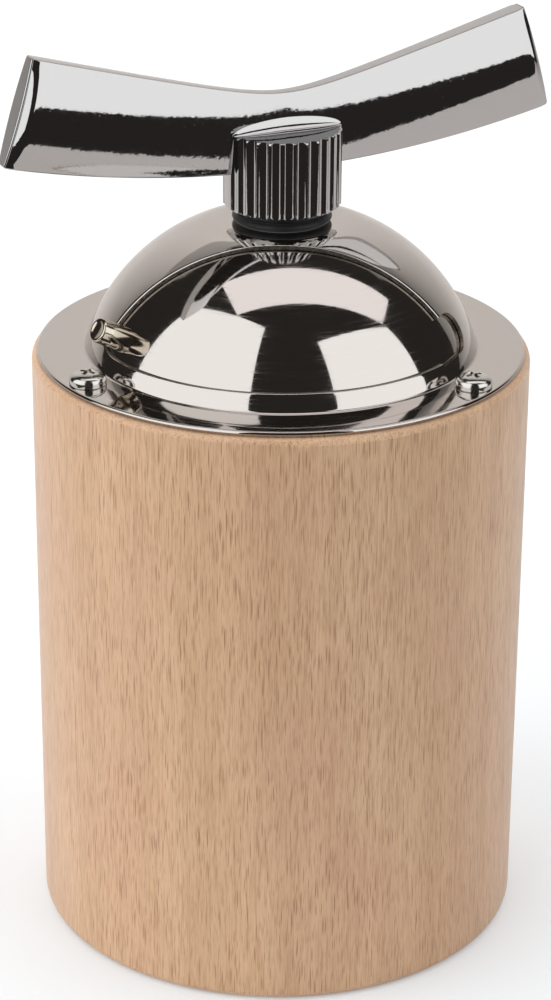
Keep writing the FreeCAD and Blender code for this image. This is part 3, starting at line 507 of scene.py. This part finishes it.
# %% Measures of the cover
dome_sheet = 0.5 * mm
window_cut = 10.6 * mm
flange_radius = cover_high.x
flange_lean = 0.25 * mm
flat_margin = 0.06 * mm
collar_round = 0.45 * mm
dome_centre = (1.378 * mm, flange_top - 8.12 * mm)
dome_reach = 27.45 * mm
shoulder_centre = (8.18 * mm, crown_top - 10 * mm)
shoulder_reach = 10 * mm
shoulder_from = math.degrees(math.atan2(shoulder_centre[1] - dome_centre[1],
                                        shoulder_centre[0] - dome_centre[0]))
neck_hole = 4.02 * mm
window_sill = flange_top + 2.45 * mm
window_corner = 1.8 * mm
edge_round = 0.13 * mm
screw_circle = 31.125 * mm
screw_azimuths = (-57, 57, 180)
screw_hole = 1.52 * mm
print("dome", round(dome_reach / mm, 2), "mm in reach, sheet", round(dome_sheet / mm, 2), "mm")

# %% [markdown]
# The side of the dome is an arc about a ring-shaped centre, and its shoulder is a second arc. A square
# root gives the point of either at a height or at a distance from the axis, or of a surface that lies
# some depth under it. The window is where an upright plane cuts the dome, with two round lower corners.


# %% The dome and the edge of its window
def dome_radius(height, depth=0.0):
    """Radius at a height of the dome's side, or of a surface under it."""
    return dome_centre[0] + math.sqrt((dome_reach - depth) ** 2 - (height - dome_centre[1]) ** 2)


def dome_height(radius, depth=0.0):
    """Height of the dome, or of a surface under it, at a distance from the axis."""
    joint = shoulder_centre[0] + (shoulder_reach - depth) * math.cos(math.radians(shoulder_from))
    centre, reach = (dome_centre, dome_reach) if radius > joint else (shoulder_centre, shoulder_reach)
    return centre[1] + math.sqrt((reach - depth) ** 2 - max(0.0, radius - centre[0]) ** 2)


corner_x = math.sqrt(dome_radius(window_sill) ** 2 - window_cut ** 2) - window_corner
corner_z = window_sill + window_corner
corner_steps, edge_steps = 10, 50
corner_end = 58


def window_edge(step, depth, shift):
    """Radius, height and azimuth of a point on the window's edge, from the sill up to the top.

    It lies a depth under the dome, and a shift back into the sheet from the sheared face."""
    plane = window_cut - shift
    turn = math.radians(corner_end * min(1, step / corner_steps))
    height = corner_z - (window_corner + shift) * math.cos(turn)
    at_plane = math.sqrt(dome_radius(height, depth) ** 2 - plane ** 2)
    aside = min(corner_x + (window_corner + shift) * math.sin(turn), at_plane)
    radius = dome_radius(height, depth)
    if step > corner_steps:
        aside = at_plane * math.cos(math.pi / 2 * (step - corner_steps) / edge_steps)
        radius = math.hypot(aside, plane)
        height = dome_height(radius, depth)
    return radius, height, math.degrees(math.asin(aside / radius))


# %% [markdown]
# All the rings of the cover are now listed in one order, from the rim of the flange up over the dome, in
# through the neck hole and down the inner side. A flat that ends in a rounding gets one more ring close
# to its end, because smooth shading would otherwise bend the light on the whole flat.


# %% Rings of the cover
def section_below(depth):
    """Side of the dome below the window, its collar and the flange, outside or inside, from the top."""
    fillet = collar_round + depth
    fillet_z = flange_top + collar_round
    lift = math.asin((fillet_z - dome_centre[1]) / (dome_reach + collar_round))
    fillet_r = dome_centre[0] + (dome_reach + collar_round) * math.cos(lift)
    start = math.asin((window_edge(0, depth, edge_round * (depth == 0))[1] - dome_centre[1])
                      / (dome_reach - depth))
    points = arc(*dome_centre, dome_reach - depth, math.degrees(start), math.degrees(lift), 5)[1:]
    points += arc(fillet_r, fillet_z, fillet, 180 + math.degrees(lift), 270, 10)[1:]
    return points + [(fillet_r + flat_margin, fillet_z - fillet)]


def cover_rings():
    """Rings (radius, height, azimuth of their ends): all of them, and those across the band."""
    rim = 0.35 * mm
    closed = [window_cut + (neck_hole - window_cut) * k / 16 for k in range(1, 17)]
    steps = range(corner_steps + edge_steps + 1)
    outer = [window_edge(step, 0, edge_round) for step in steps]
    inner = [window_edge(step, dome_sheet, 0) for step in steps]
    flange = [(radius, height, outer[0][2]) for radius, height in
              section_below(0) + [(flange_radius - rim - flat_margin, flange_top)]
              + arc(flange_radius - rim, flange_top - rim, rim, 90, 0, 6)
              + [(flange_radius - flange_lean, flange_top - sheet_thickness)]]
    under = [(radius, height, inner[0][2]) for radius, height in section_below(dome_sheet)]
    crown = [(radius, dome_height(radius), 0) for radius in closed]
    ceiling = [(radius, dome_height(radius, dome_sheet), 0) for radius in reversed(closed)]
    lip = []
    for depth, shift in edge_profile()[1:-1]:
        height = window_sill - shift
        radius = dome_radius(height, depth)
        lip.append((radius, height, math.degrees(math.asin(corner_x / radius))))
    around = flange[::-1] + outer + crown + ceiling + inner[::-1] + under + [flange[-1]]
    across = flange[::-1] + outer[:1] + lip + inner[:1] + under + [flange[-1]]
    return around, across


def edge_profile():
    """Depth and shift of the points across the sheared edge: its rounding, then the flat face."""
    turns = [math.pi / 8 * k for k in range(5)]
    rounding = [(edge_round * (1 - math.cos(turn)), edge_round * (1 - math.sin(turn))) for turn in turns]
    return rounding + [(dome_sheet / 2, 0), (dome_sheet, 0)]


def grid_of(shape, columns, rows, place):
    """Grid whose points are moved to where a function of the column and the row puts them."""
    grid = bmesh.ops.create_grid(shape, x_segments=columns, y_segments=rows, size=1)
    for vert in grid["verts"]:
        vert.co = place(round((vert.co.x + 1) / 2 * columns), round((vert.co.y + 1) / 2 * rows))


def on_ring(ring, azimuth):
    return heading(azimuth) * ring[0] + Vector((0, 0, ring[1]))


def notch_cutter():
    """Slot with a round end that opens into the window; it points up like the knob."""
    azimuth, tilt = 67.7, math.radians(31)
    half, run, reach = 2.95 * mm, 5.6 * mm, 14 * mm
    height = flange_top + 5.05 * mm
    foot = on_ring((dome_radius(height), height), azimuth)
    outward = heading(azimuth) * math.cos(tilt) + Vector((0, 0, math.sin(tilt)))
    upward = Vector((0, 0, math.cos(tilt))) - heading(azimuth) * math.sin(tilt)
    sideways = heading(azimuth + 90)
    outline = arc(0, 0, half, -90, 90, 48) + [(-run, half), (-run, -half)]
    rings = [[foot + outward * depth + sideways * x + upward * y for x, y in outline]
             for depth in (-reach, reach)]
    return make_object("notch_cutter", skinned(rings))


# %% [markdown]
# A grid has square cells in rows and columns. Its points are moved to their rings, and where the grids
# meet their points coincide, so merging the doubles joins them. The faces that stand square to the sheet
# are the sheared ones, and they get the dull finish.


# %% The pressing
def make_cover():
    around, across = cover_rings()
    profile = edge_profile()
    top_step = corner_steps + edge_steps
    back_columns, front_columns = 280, 130
    shape = bmesh.new()

    def on_back(column, row):
        end = around[row][2]
        return on_ring(around[row], end + (360 - 2 * end) * column / back_columns)

    def on_front(column, row):
        end = across[row][2]
        return on_ring(across[row], end * (2 * column / front_columns - 1))

    def on_edge(column, row):
        ring = window_edge(top_step - abs(column - top_step), *profile[row])
        return on_ring(ring, ring[2] if column > top_step else -ring[2])

    grid_of(shape, back_columns, len(around) - 1, on_back)
    grid_of(shape, front_columns, len(across) - 1, on_front)
    grid_of(shape, 2 * top_step, len(profile) - 1, on_edge)
    cover = make_object("dome_cover_pressing", shape, 30)
    holes = [make_object("hole", stand(rod(screw_hole, 6 * mm, 48),
                                       on_ring((screw_circle, flange_top - 3 * mm), azimuth),
                                       Vector((0, 0, 1))))
             for azimuth in screw_azimuths]
    carve(cover, notch_cutter(), *holes)
    cover = make_object("dome_cover_pressing", shape_of(cover), 30)
    put_on(cover, polished_steel, "root", "dome_cover", sheared_steel, is_sheared)


def is_sheared(centre, normal):
    """True for a face at the window or the notch that stands square to the sheet."""
    radius = math.hypot(centre.x, centre.y)
    across = Vector((centre.x, centre.y, 0)) * (1 - dome_centre[0] / radius)
    outward = (across + Vector((0, 0, centre.z - dome_centre[1]))).normalized()
    return centre.z > flange_top + 1 * mm and radius > 8 * mm and abs(outward.dot(normal)) < 0.6


make_cover()

# %% [markdown]
# ## The door
# A slice of a slightly smaller dome that turns closely under the cover. Rings of points about the axis
# give it an even surface, as the cover's grids do, and here nothing interrupts them. Towards the crown
# the slice dips to the level of a round disc, which holds it on the neck of the cover. The disc is
# turned, and the hole for the knob's stud is carved.

# %% Measures of the door
door_depth = 0.6 * mm
door_sheet = 0.8 * mm
door_half_angle = 78
door_hem = flange_top + 0.35 * mm
door_end = 8 * mm
dip_start, dip_length = 10.7 * mm, 1.6 * mm
disc_hole, disc_radius = 4.1 * mm, 8.6 * mm
disc_level = crown_top - 1.2 * mm
stud_hole = 1.78 * mm
print("door", 2 * door_half_angle, "degrees wide,", round(door_depth / mm, 1), "mm under the dome")

# %% [markdown]
# Both sides of the door are one section: the outer line from the hem up to the disc, then the inner line
# back down. The same section stands at every azimuth, and the rings are skinned into one closed body.


# %% Door in the dome
def door_surface(depth, level):
    """Points from the hem to the disc, a depth under the dome; the last ones dip to a level."""
    lift = math.degrees(math.asin((door_hem - dome_centre[1]) / (dome_reach - depth)))
    line = arc(*dome_centre, dome_reach - depth, lift, shoulder_from, 40)
    line += arc(*shoulder_centre, shoulder_reach - depth, shoulder_from, 89, 16)[1:]
    dipped = []
    for radius, height in line:
        if radius > door_end:
            share = min(1, max(0, (dip_start - radius) / dip_length))
            dipped.append((radius, height + (level - height) * share * share * (3 - 2 * share)))
    return dipped


def make_door():
    steps = 260
    low = disc_level - door_sheet
    section = door_surface(door_depth, disc_level) + door_surface(door_depth + door_sheet, low)[::-1]
    rings = []
    for k in range(steps + 1):
        azimuth = door_half_angle * (2 * k / steps - 1)
        rings.append([on_ring(point, azimuth) for point in section])
    piece = make_object("slice", skinned(rings), 30)
    hole = rod(stud_hole, 8 * mm)
    carve(piece, make_object("stud_hole", stand(hole, knob_foot - knob_direction * 4 * mm, knob_direction)))
    disc = make_object("disc", spun([(disc_hole, low), (disc_radius, low), (disc_radius, disc_level),
                                     (disc_hole, disc_level)], 120))
    door = make_object("fill_door_slice", shape_of(piece, disc), 30)
    put_on(door, polished_steel, "door", "fill_door")


make_door()

# %% [markdown]
# ## Cover screws
# Pan heads: nearly upright sides, a low dome and a cross recess. The section of the head is a
# superellipse, which is what a pressed head looks like. One screw is turned and carved; copies stand at
# the three holes, each turned a little differently, as a hand leaves them.


# %% Three screws
def make_screws():
    head_radius, head_height, side = 2.55 * mm, 1.75 * mm, 0.45 * mm
    shank, length, rim = 1.5 * mm, 13 * mm, 0.12 * mm
    arm_length, arm_width, arm_taper, arm_depth = 2.7 * mm, 0.7 * mm, 0.55, 1.05 * mm
    power, steps = 2 / 2.6, 14
    section = [(0, -length), (shank * 0.4, -length), (shank, -length + 1.5 * shank), (shank, 0),
               (head_radius - rim, 0), (head_radius, rim)]
    for k in range(steps + 1):
        turn = math.pi / 2 * k / steps
        section.append((head_radius * math.cos(turn) ** power if k < steps else 0,
                        side + (head_height - side) * math.sin(turn) ** power))
    screw = make_object("screw", spun(section, 72))
    arms = []
    for turn in (0, 90):
        arm = bmesh.new()
        bmesh.ops.create_cube(arm, size=1)
        for vert in arm.verts:
            taper = 1.0 if vert.co.z > 0 else arm_taper
            vert.co.x *= arm_length * taper
            vert.co.y *= arm_width * taper
            vert.co.z = head_height + (0.4 * mm if vert.co.z > 0 else -arm_depth)
        bmesh.ops.rotate(arm, verts=arm.verts, cent=(0, 0, 0),
                         matrix=Matrix.Rotation(math.radians(turn), 3, "Z"))
        arms.append(make_object("arm", arm))
    carve(screw, *arms)
    group = bmesh.new()
    for azimuth in screw_azimuths:
        copy = screw.data.copy()
        copy.transform(Matrix.Translation(heading(azimuth) * screw_circle + Vector((0, 0, flange_top)))
                       @ Matrix.Rotation(math.radians(azimuth / 2), 4, "Z"))
        group.from_mesh(copy)
        bpy.data.meshes.remove(copy)
    bpy.data.objects.remove(screw)
    put_on(make_object("cover_screws_pan_head", group, 30), plain_steel, "root",
           "cover_screws")


make_screws()

# %% [markdown]
# ## Knob and neck ring
# Both are round, so each is one section spun about Z. The knob is a plain pin with a fine groove at its
# foot, a rounded end with a shallow dish, and a stud that goes through the door; it is made upright and
# then stood on the door. The rubber ring bulges out between the dome and the hub, and two quarters of an
# ellipse give it one smooth side.


# %% Knob and ring
def make_knob():
    radius, length, end_round, dish = 1.75 * mm, 5.5 * mm, 0.3 * mm, 0.06 * mm
    stud, stud_length = 1.2 * mm, 3.2 * mm
    groove, groove_depth = 0.4 * mm, 0.08 * mm
    section = [(0, -stud_length), (stud, -stud_length), (stud, 0), (radius, 0), (radius, groove),
               (radius - groove_depth, groove + groove_depth), (radius, groove + 2 * groove_depth)]
    section += arc(radius - end_round, length - end_round, end_round, 0, 90, 8)
    section += [(radius * 0.72, length), (radius * 0.66, length - dish), (0, length - dish)]
    knob = make_object("door_knob_pin", stand(spun(section, 96), knob_foot, knob_direction), 30)
    put_on(knob, nickel, "door", "door_knob")


def make_ring():
    low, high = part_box("neck_seal")
    foot, top, outer, inner = low.z, high.z, high.x, 5.22 * mm
    middle, widest, steps = 5.75 * mm, foot + 0.75 * mm, 24
    section = [(inner, foot)]
    for k in range(2 * steps + 1):
        turn = math.pi / 2 * (k / steps - 1)
        reach = top - widest if turn > 0 else widest - foot
        section.append((middle + (outer - middle) * math.cos(turn), widest + reach * math.sin(turn)))
    section.append((inner, top))
    put_on(make_object("neck_seal_ring", spun(section, 180), 40), rubber, "root",
           "neck_seal")


make_knob()
make_ring()

# %% [markdown]
# ## The crank handle
# One zinc casting: two wings with lens-shaped sections that grow towards the tips, and a fluted hub. The
# wings could be a cube bent by modifiers, but their faces mirror the whole room, so they are skinned from
# ring to ring. Each ring has its four corners rounded, and the last few at the tips are drawn in, so that
# a fine bright line runs along all the edges.

# %% Measures of the handle
hub_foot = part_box("crank_handle")[0].z
hub_radius = 8.17 * mm
hub_height = 11.6 * mm
hub_top = hub_foot + hub_height
handle_turn = math.radians(24.2)
wing_half_low, wing_half_top = 40.6 * mm, 36.2 * mm
wing_low, wing_low_rise = 5.85 * mm, 5.0 * mm
wing_high, wing_high_rise = 16.75 * mm, 8.39 * mm
wing_neck = 6.5 * mm
tip_share = 1 - 1.6 / 40.6
tip_narrow, tip_full = 1.05 * mm, 1.7 * mm
wing_round = 0.22 * mm
wing_side_steps = 24
print("handle", round(2 * wing_half_low / mm, 1), "mm long, hub", round(hub_height / mm, 1), "mm tall")


def wing_measures(share):
    """Low and high edge, narrow and full half thickness, at a share of the half length."""
    low = hub_foot + wing_low + wing_low_rise * share ** 2
    lift = math.hypot(wing_half_top * share, wing_neck) - wing_neck
    lift /= math.hypot(wing_half_top, wing_neck) - wing_neck
    high = hub_foot + wing_high + wing_high_rise * lift
    narrow = (0.95 + 0.45 * share) * mm
    full = (1.3 + 1.65 * share) * mm
    lean = max(0.0, (share - tip_share) / (1 - tip_share)) ** 2
    return low, high, narrow + (tip_narrow - narrow) * lean, full + (tip_full - full) * lean


def half_thickness(reach, height):
    """Half thickness of the wings at a place and a height."""
    up = 0.5
    for _ in range(4):
        half_length = wing_half_low - (wing_half_low - wing_half_top) * up
        low, high, narrow, full = wing_measures(abs(reach) / half_length)
        up = (height - low) / (high - low)
    return narrow + (full - narrow) * 4 * up * (1 - up)


# %% [markdown]
# A wing's section is a lens: narrow at its edges, full in the middle, with a parabola between. A ring can
# be drawn in and set back a little, and five such rings round off the end of each wing.


# %% The two wings
def wing_ring(share, inset=0.0, back=0.0):
    """Outline of the section at a share of the half length, drawn in by an inset and set back."""
    low, high, narrow, full = wing_measures(abs(share))
    height = high - low
    corner = wing_round / height
    side = []
    for k in range(wing_side_steps + 1):
        up = corner + (1 - 2 * corner) * k / wing_side_steps
        side.append((narrow + (full - narrow) * 4 * up * (1 - up), low + height * up))
    centre = side[0][0] - wing_round
    half = arc(centre, low + wing_round, wing_round, -90, 0, 5)[:-1] + side
    half += arc(centre, high - wing_round, wing_round, 0, 90, 5)[1:]
    thinner = 1 - inset / full
    lower = 1 - 2 * inset / height
    ring = []
    for across, z in half + [(-across, z) for across, z in reversed(half)]:
        z = (low + high) / 2 + (z - (low + high) / 2) * lower
        reach = share * (wing_half_low + (wing_half_top - wing_half_low) * (z - low) / height)
        ring.append(Vector((reach - math.copysign(back, share), across * thinner, z)))
    return ring


def make_wings():
    main_steps, tip_steps, end_steps = 70, 6, 4
    shares = [tip_share * k / main_steps for k in range(main_steps + 1)]
    shares += [tip_share + (0.994 - tip_share) * k / tip_steps for k in range(1, tip_steps + 1)]
    turns = [math.pi / 2 * k / end_steps for k in range(end_steps + 1)]
    end = [(wing_round * (1 - math.cos(turn)), wing_round * (1 - math.sin(turn))) for turn in turns]
    end.append((1.3 * wing_round, 0))
    right = [wing_ring(share) for share in shares] + [wing_ring(1, *place) for place in end]
    left = [wing_ring(-share) for share in shares[1:]] + [wing_ring(-1, *place) for place in end]
    return make_object("wings", skinned(left[::-1] + right))


# %% [markdown]
# The hub is a circle whose points are drawn in where a flute runs, extruded upwards ring by ring. The
# chamfer at its foot and the small break at its top cut through the flutes, so each ring takes the
# smaller of the two radii, and the rims come out scalloped as on the real hub. The bore and the hole of
# the set screw are cut out of the hub alone; the wings cross the bore where nobody sees it.

# %% The fluted hub
flute_pitch = 12
flute_radius = 0.85 * mm
flute_reach = hub_radius + 0.43 * mm
last_flute = 80
foot_chamfer, foot_chamfer_height = 1.45 * mm, 1.15 * mm
hub_break = 0.3 * mm
bore_radius, bore_length, bore_start = 3.06 * mm, 11.1 * mm, 1 * mm
set_screw_hole, set_screw_height = 1.52 * mm, 5.2 * mm


def flute_edge(azimuth):
    """Radius of the hub at an azimuth from the handle's face; the ends of the wings have no flutes."""
    middle = (azimuth // flute_pitch + 0.5) * flute_pitch
    aside = math.radians(azimuth - middle)
    off_face = abs((middle + 90) % 180 - 90)
    across = flute_reach * math.sin(aside)
    if off_face > last_flute or abs(across) >= flute_radius:
        return hub_radius
    return min(hub_radius, flute_reach * math.cos(aside) - math.sqrt(flute_radius ** 2 - across ** 2))


def make_hub():
    profile = [(hub_radius - foot_chamfer, 0)]
    profile += [(hub_radius - foot_chamfer * (1 - k / 8), foot_chamfer_height * k / 8) for k in range(5, 9)]
    profile += arc(hub_radius - hub_break, hub_height - hub_break, hub_break, 0, 90, 6)
    profile.append((hub_radius - hub_break - flat_margin, hub_height))
    rings = []
    for reach, height in profile:
        rings.append([heading(k / 2) * min(reach, flute_edge(k / 2)) + Vector((0, 0, hub_foot + height))
                      for k in range(720)])
    hub = make_object("hub", skinned(rings), 30)
    bore = stand(rod(bore_radius, bore_length), Vector((0, 0, hub_foot - bore_start)), Vector((0, 0, 1)))
    side_hole = stand(rod(set_screw_hole, 2 * hub_radius),
                      Vector((0, 0, hub_foot + set_screw_height)), Vector((0, 1, 0)))
    carve(hub, make_object("bore", bore), make_object("side_hole", side_hole))
    return hub


# %% [markdown]
# Between the hub's flat top and the wings' faces lies a hollow round. It is widest in the middle and
# runs out at the hub's rim, so its upper edge is an arch. Its section is a quarter circle, closed
# inside the casting, and it is skinned along the face.


# %% The hollow round on the hub
def make_cove(side):
    reach, run_out, steps, around = 7.95 * mm, 8.1 * mm, 48, 12
    sunk, inside = hub_top - 0.5 * mm, side * 0.2 * mm
    rings = []
    for k in range(steps + 1):
        place = -math.cos(math.pi * k / steps) * reach
        radius = 1.75 * mm * math.sqrt(1 - (place / run_out) ** 2)
        ring = []
        for j in range(around + 1):
            turn = math.pi / 2 * j / around
            height = hub_top + radius * (1 - math.cos(turn))
            ring.append(Vector((place, side * (radius * (1 - math.sin(turn))
                                               + half_thickness(place, height)), height)))
        ring += [Vector((place, inside, ring[-1].z)), Vector((place, inside, sunk)),
                 Vector((place, ring[0].y, sunk))]
        rings.append(ring)
    return make_object("cove", skinned(rings), 40)


# Faces that get the painted dark reflection: the hub's flat top.
def is_hub_flat(centre, normal):
    return normal.z > 0.99 and abs(centre.z - hub_top) < 0.05 * mm


handle = shape_of(make_wings(), make_hub(), make_cove(-1), make_cove(1))
bmesh.ops.rotate(handle, verts=handle.verts, cent=(0, 0, 0), matrix=Matrix.Rotation(handle_turn, 3, "Z"))
handle = make_object("crank_handle_cast", handle)
put_on(handle, chrome, "crank", "crank_handle", painted_reflection_chrome, is_hub_flat)

# %% [markdown]
# ## Camera
# The camera stands at the front, well above the mill, and looks down on it with a long lens. Its place
# was worked out from the circles of the mill: how flat each one looks gives the height and the tilt, and
# how much smaller the lower ones look gives the distance. The focal length is known in pixels of a
# picture 1000 pixels high, so the sensor's height turns it into millimetres.

# %% Camera
frame_height = 1000
focal_px = 2936.45
eye = Vector((0, -387.86 * mm, 229.91 * mm))
look_down = 0.4086
turn_left = 0.0016
roll = 0.0069

lens = bpy.data.cameras.new("camera")
lens.sensor_fit = "VERTICAL"
lens.sensor_height = 24
lens.lens = lens.sensor_height * focal_px / frame_height
lens.clip_start = 0.01
camera = bpy.data.objects.new("camera", lens)
camera.matrix_world = (Matrix.Translation(eye) @ Matrix.Rotation(turn_left, 4, "Z")
                       @ Matrix.Rotation(math.pi / 2 - look_down, 4, "X")
                       @ Matrix.Rotation(roll, 4, "Z"))
bpy.context.scene.collection.objects.link(camera)
bpy.context.scene.camera = camera
print("lens", round(lens.lens, 1), "mm, looking down", round(math.degrees(look_down), 1), "degrees")

# %% [markdown]
# ## Studio
# Polished metal shows the room, so the lamps are placed by their images in the dome: two upright
# softboxes, left and right, and a strip overhead. Two more panels only light the wood: they are hidden
# from mirrors, as a studio hides a lamp behind a flag. The camera's side stays dark.


# %% Panels of light
def light_panel(name, centre, facing, width, height, radiance, color, twist=0.0, in_mirrors=True):
    """Rectangular lamp that faces a point; its radiance is what a mirror would show of it."""
    lamp = bpy.data.lights.new(name, "AREA")
    lamp.shape = "RECTANGLE"
    lamp.size = width
    lamp.size_y = height
    lamp.energy = radiance * math.pi * width * height
    lamp.color = color
    panel = bpy.data.objects.new(name, lamp)
    toward = (facing - centre).normalized()
    turn = toward.to_track_quat("-Z", "Y").to_matrix().to_4x4()
    panel.matrix_world = Matrix.Translation(centre) @ turn @ Matrix.Rotation(twist, 4, "Z")
    panel.visible_camera = False
    panel.visible_glossy = in_mirrors
    bpy.context.scene.collection.objects.link(panel)
    print(name, round(width, 2), "x", round(height, 2), "m")


def upright_panel(name, azimuth, distance, left, right, low, high, radiance, color, in_mirrors=True):
    """Softbox square to an azimuth; left and right are its sides, low and high its heights."""
    out = heading(azimuth)
    side = heading(azimuth + 90)
    centre = out * distance + side * (left + right) / 2 + Vector((0, 0, (low + high) / 2))
    light_panel(name, centre, centre - out, right - left, high - low, radiance, color,
                in_mirrors=in_mirrors)


# %% [markdown]
# The upright panels are given by what one sees from the mill: an azimuth, a distance, and how far each
# side and each end lies from there.

# %% The lamps
softbox_distance, softbox_radiance, softbox_color = 0.6, 1.3, (1.0, 0.995, 0.99)
upright_panel("left_softbox", -38, softbox_distance, -0.86, 0.22, 0.04, 1.31, softbox_radiance,
              softbox_color)
upright_panel("right_softbox", 37.5, softbox_distance, -0.06, 0.77, 0.04, 0.84, softbox_radiance,
              softbox_color)
overhead_height = 0.8
light_panel("overhead_strip", Vector((0.25, 0.05, overhead_height)), Vector((0.25, 0.05, 0)), 1.16, 0.33,
            1.2, (1.0, 0.955, 0.955), math.radians(9.5))
light_panel("overhead_fill", Vector((-0.15, 0.6, overhead_height)), Vector((-0.15, 0.6, 0)), 1.7, 1.55,
            1.1, (1.0, 0.97, 0.96), in_mirrors=False)
upright_panel("left_fill", -66, 0.8, -0.3, 0.3, 0.02, 0.22, 4.5, (1.0, 1.0, 1.0), in_mirrors=False)

# %% [markdown]
# ## Floor and backdrop
# A white sheet runs under the mill and bends up behind it, so that no line shows where the floor ends.
# Its finish asks what kind of ray meets it. The camera sees clean white with a soft shadow round the
# foot. Mirrors see a grey card with painted shade that darkens it to the sides, where a studio's light
# falls off. For all other light it is a plain pale sheet.


# %% Finish of the sheet
def mixed(tree, share, first, second):
    """Shader between two others; the share is a number or an output."""
    node = tree.nodes.new("ShaderNodeMixShader")
    if isinstance(share, float):
        node.inputs["Fac"].default_value = share
    else:
        tree.links.new(share, node.inputs["Fac"])
    tree.links.new(first.outputs[0], node.inputs[1])
    tree.links.new(second.outputs[0], node.inputs[2])
    return node


def make_paper(half_width):
    finish = bpy.data.materials.new("studio_white")
    finish.use_nodes = True
    tree = finish.node_tree
    tree.nodes.clear()
    rays = tree.nodes.new("ShaderNodeLightPath")
    place = tree.nodes.new("ShaderNodeTexCoord")
    parts = tree.nodes.new("ShaderNodeSeparateXYZ")
    link(finish, place.outputs["Object"], parts.inputs["Vector"])
    aside = arithmetic(finish, "ABSOLUTE", parts.outputs["X"], 0.0)
    # Painted shade: the card that mirrors see darkens towards the sides, in place of the lamps' falloff.
    grey = blend_colors(finish, stretch(finish, aside, 0.3, half_width), (0.62, 0.59, 0.565, 1),
                        (0.34, 0.32, 0.305, 1))
    card = {}
    for name, color in (("camera", (0.90, 0.95, 0.985, 1)), ("other", (0.8, 0.8, 0.8, 1)),
                        ("mirror", None)):
        card[name] = tree.nodes.new("ShaderNodeBsdfDiffuse")
        if color:
            card[name].inputs["Color"].default_value = color
    link(finish, grey, card["mirror"].inputs["Color"])
    to_camera = mixed(tree, 0.8, tree.nodes.new("ShaderNodeEmission"), card["camera"])
    to_others = mixed(tree, rays.outputs["Is Glossy Ray"], card["other"], card["mirror"])
    to_all = mixed(tree, rays.outputs["Is Camera Ray"], to_others, to_camera)
    out = tree.nodes.new("ShaderNodeOutputMaterial")
    link(finish, to_all.outputs["Shader"], out.inputs["Surface"])
    return finish


# %% [markdown]
# The sheet itself starts as one edge at the front. It is drawn back along the floor, spun up a quarter
# turn, and drawn up again.


# %% Sheet of paper
def drawn_out(sheet, edges, step):
    """Extrudes edges by a step, and returns the new ones."""
    grown = bmesh.ops.extrude_edge_only(sheet, edges=edges)["geom"]
    fresh = [item for item in grown if isinstance(item, bmesh.types.BMVert)]
    bmesh.ops.translate(sheet, verts=fresh, vec=step)
    return [item for item in grown if isinstance(item, bmesh.types.BMEdge)]


def make_sweep():
    front, back, half_width, bend = -0.13, 0.75, 1.0, 0.2
    sheet = bmesh.new()
    ends = [sheet.verts.new((-half_width, front, 0)), sheet.verts.new((half_width, front, 0))]
    far_edge = drawn_out(sheet, [sheet.edges.new(ends)], (0, back - bend - front, 0))
    bmesh.ops.spin(sheet, geom=far_edge + list({v for e in far_edge for v in e.verts}),
                   cent=(0, back - bend, bend), axis=(1, 0, 0), angle=math.pi / 2, steps=16)
    top_edge = [e for e in sheet.edges if all(abs(v.co.z - bend) < 1e-5 for v in e.verts)]
    drawn_out(sheet, top_edge, (0, 0, 1.0))
    sweep = make_object("sweep", sheet)
    sweep.data.materials.append(make_paper(half_width))
    print(sweep.name, len(sweep.data.polygons), "faces")


make_sweep()

# %% [markdown]
# ## The room
# Beyond the sheet and the lamps lies the world, and it asks for the kind of ray too. It is white to the
# camera, as the sheet is, nearly black to mirrors, which gives the polished metal its dark parts, and a
# plain fill for everything else.


# %% Room
def make_room():
    world = bpy.data.worlds.new("studio")
    bpy.context.scene.world = world
    world.use_nodes = True
    tree = world.node_tree
    tree.nodes.clear()
    rays = tree.nodes.new("ShaderNodeLightPath")
    shades = {}
    for name, level, color in (("camera", 1.0, (1, 1, 1, 1)), ("mirror", 0.028, (1.0, 0.88, 0.8, 1)),
                               ("fill", 0.35, (0.8, 0.8, 0.8, 1))):
        shades[name] = tree.nodes.new("ShaderNodeBackground")
        shades[name].inputs["Strength"].default_value = level
        shades[name].inputs["Color"].default_value = color
    to_others = mixed(tree, rays.outputs["Is Glossy Ray"], shades["fill"], shades["mirror"])
    to_all = mixed(tree, rays.outputs["Is Camera Ray"], to_others, shades["camera"])
    out = tree.nodes.new("ShaderNodeOutputWorld")
    tree.links.new(to_all.outputs[0], out.inputs["Surface"])


make_room()
bpy.context.scene.view_settings.view_transform = "Standard"
print("world", bpy.context.scene.world.name)
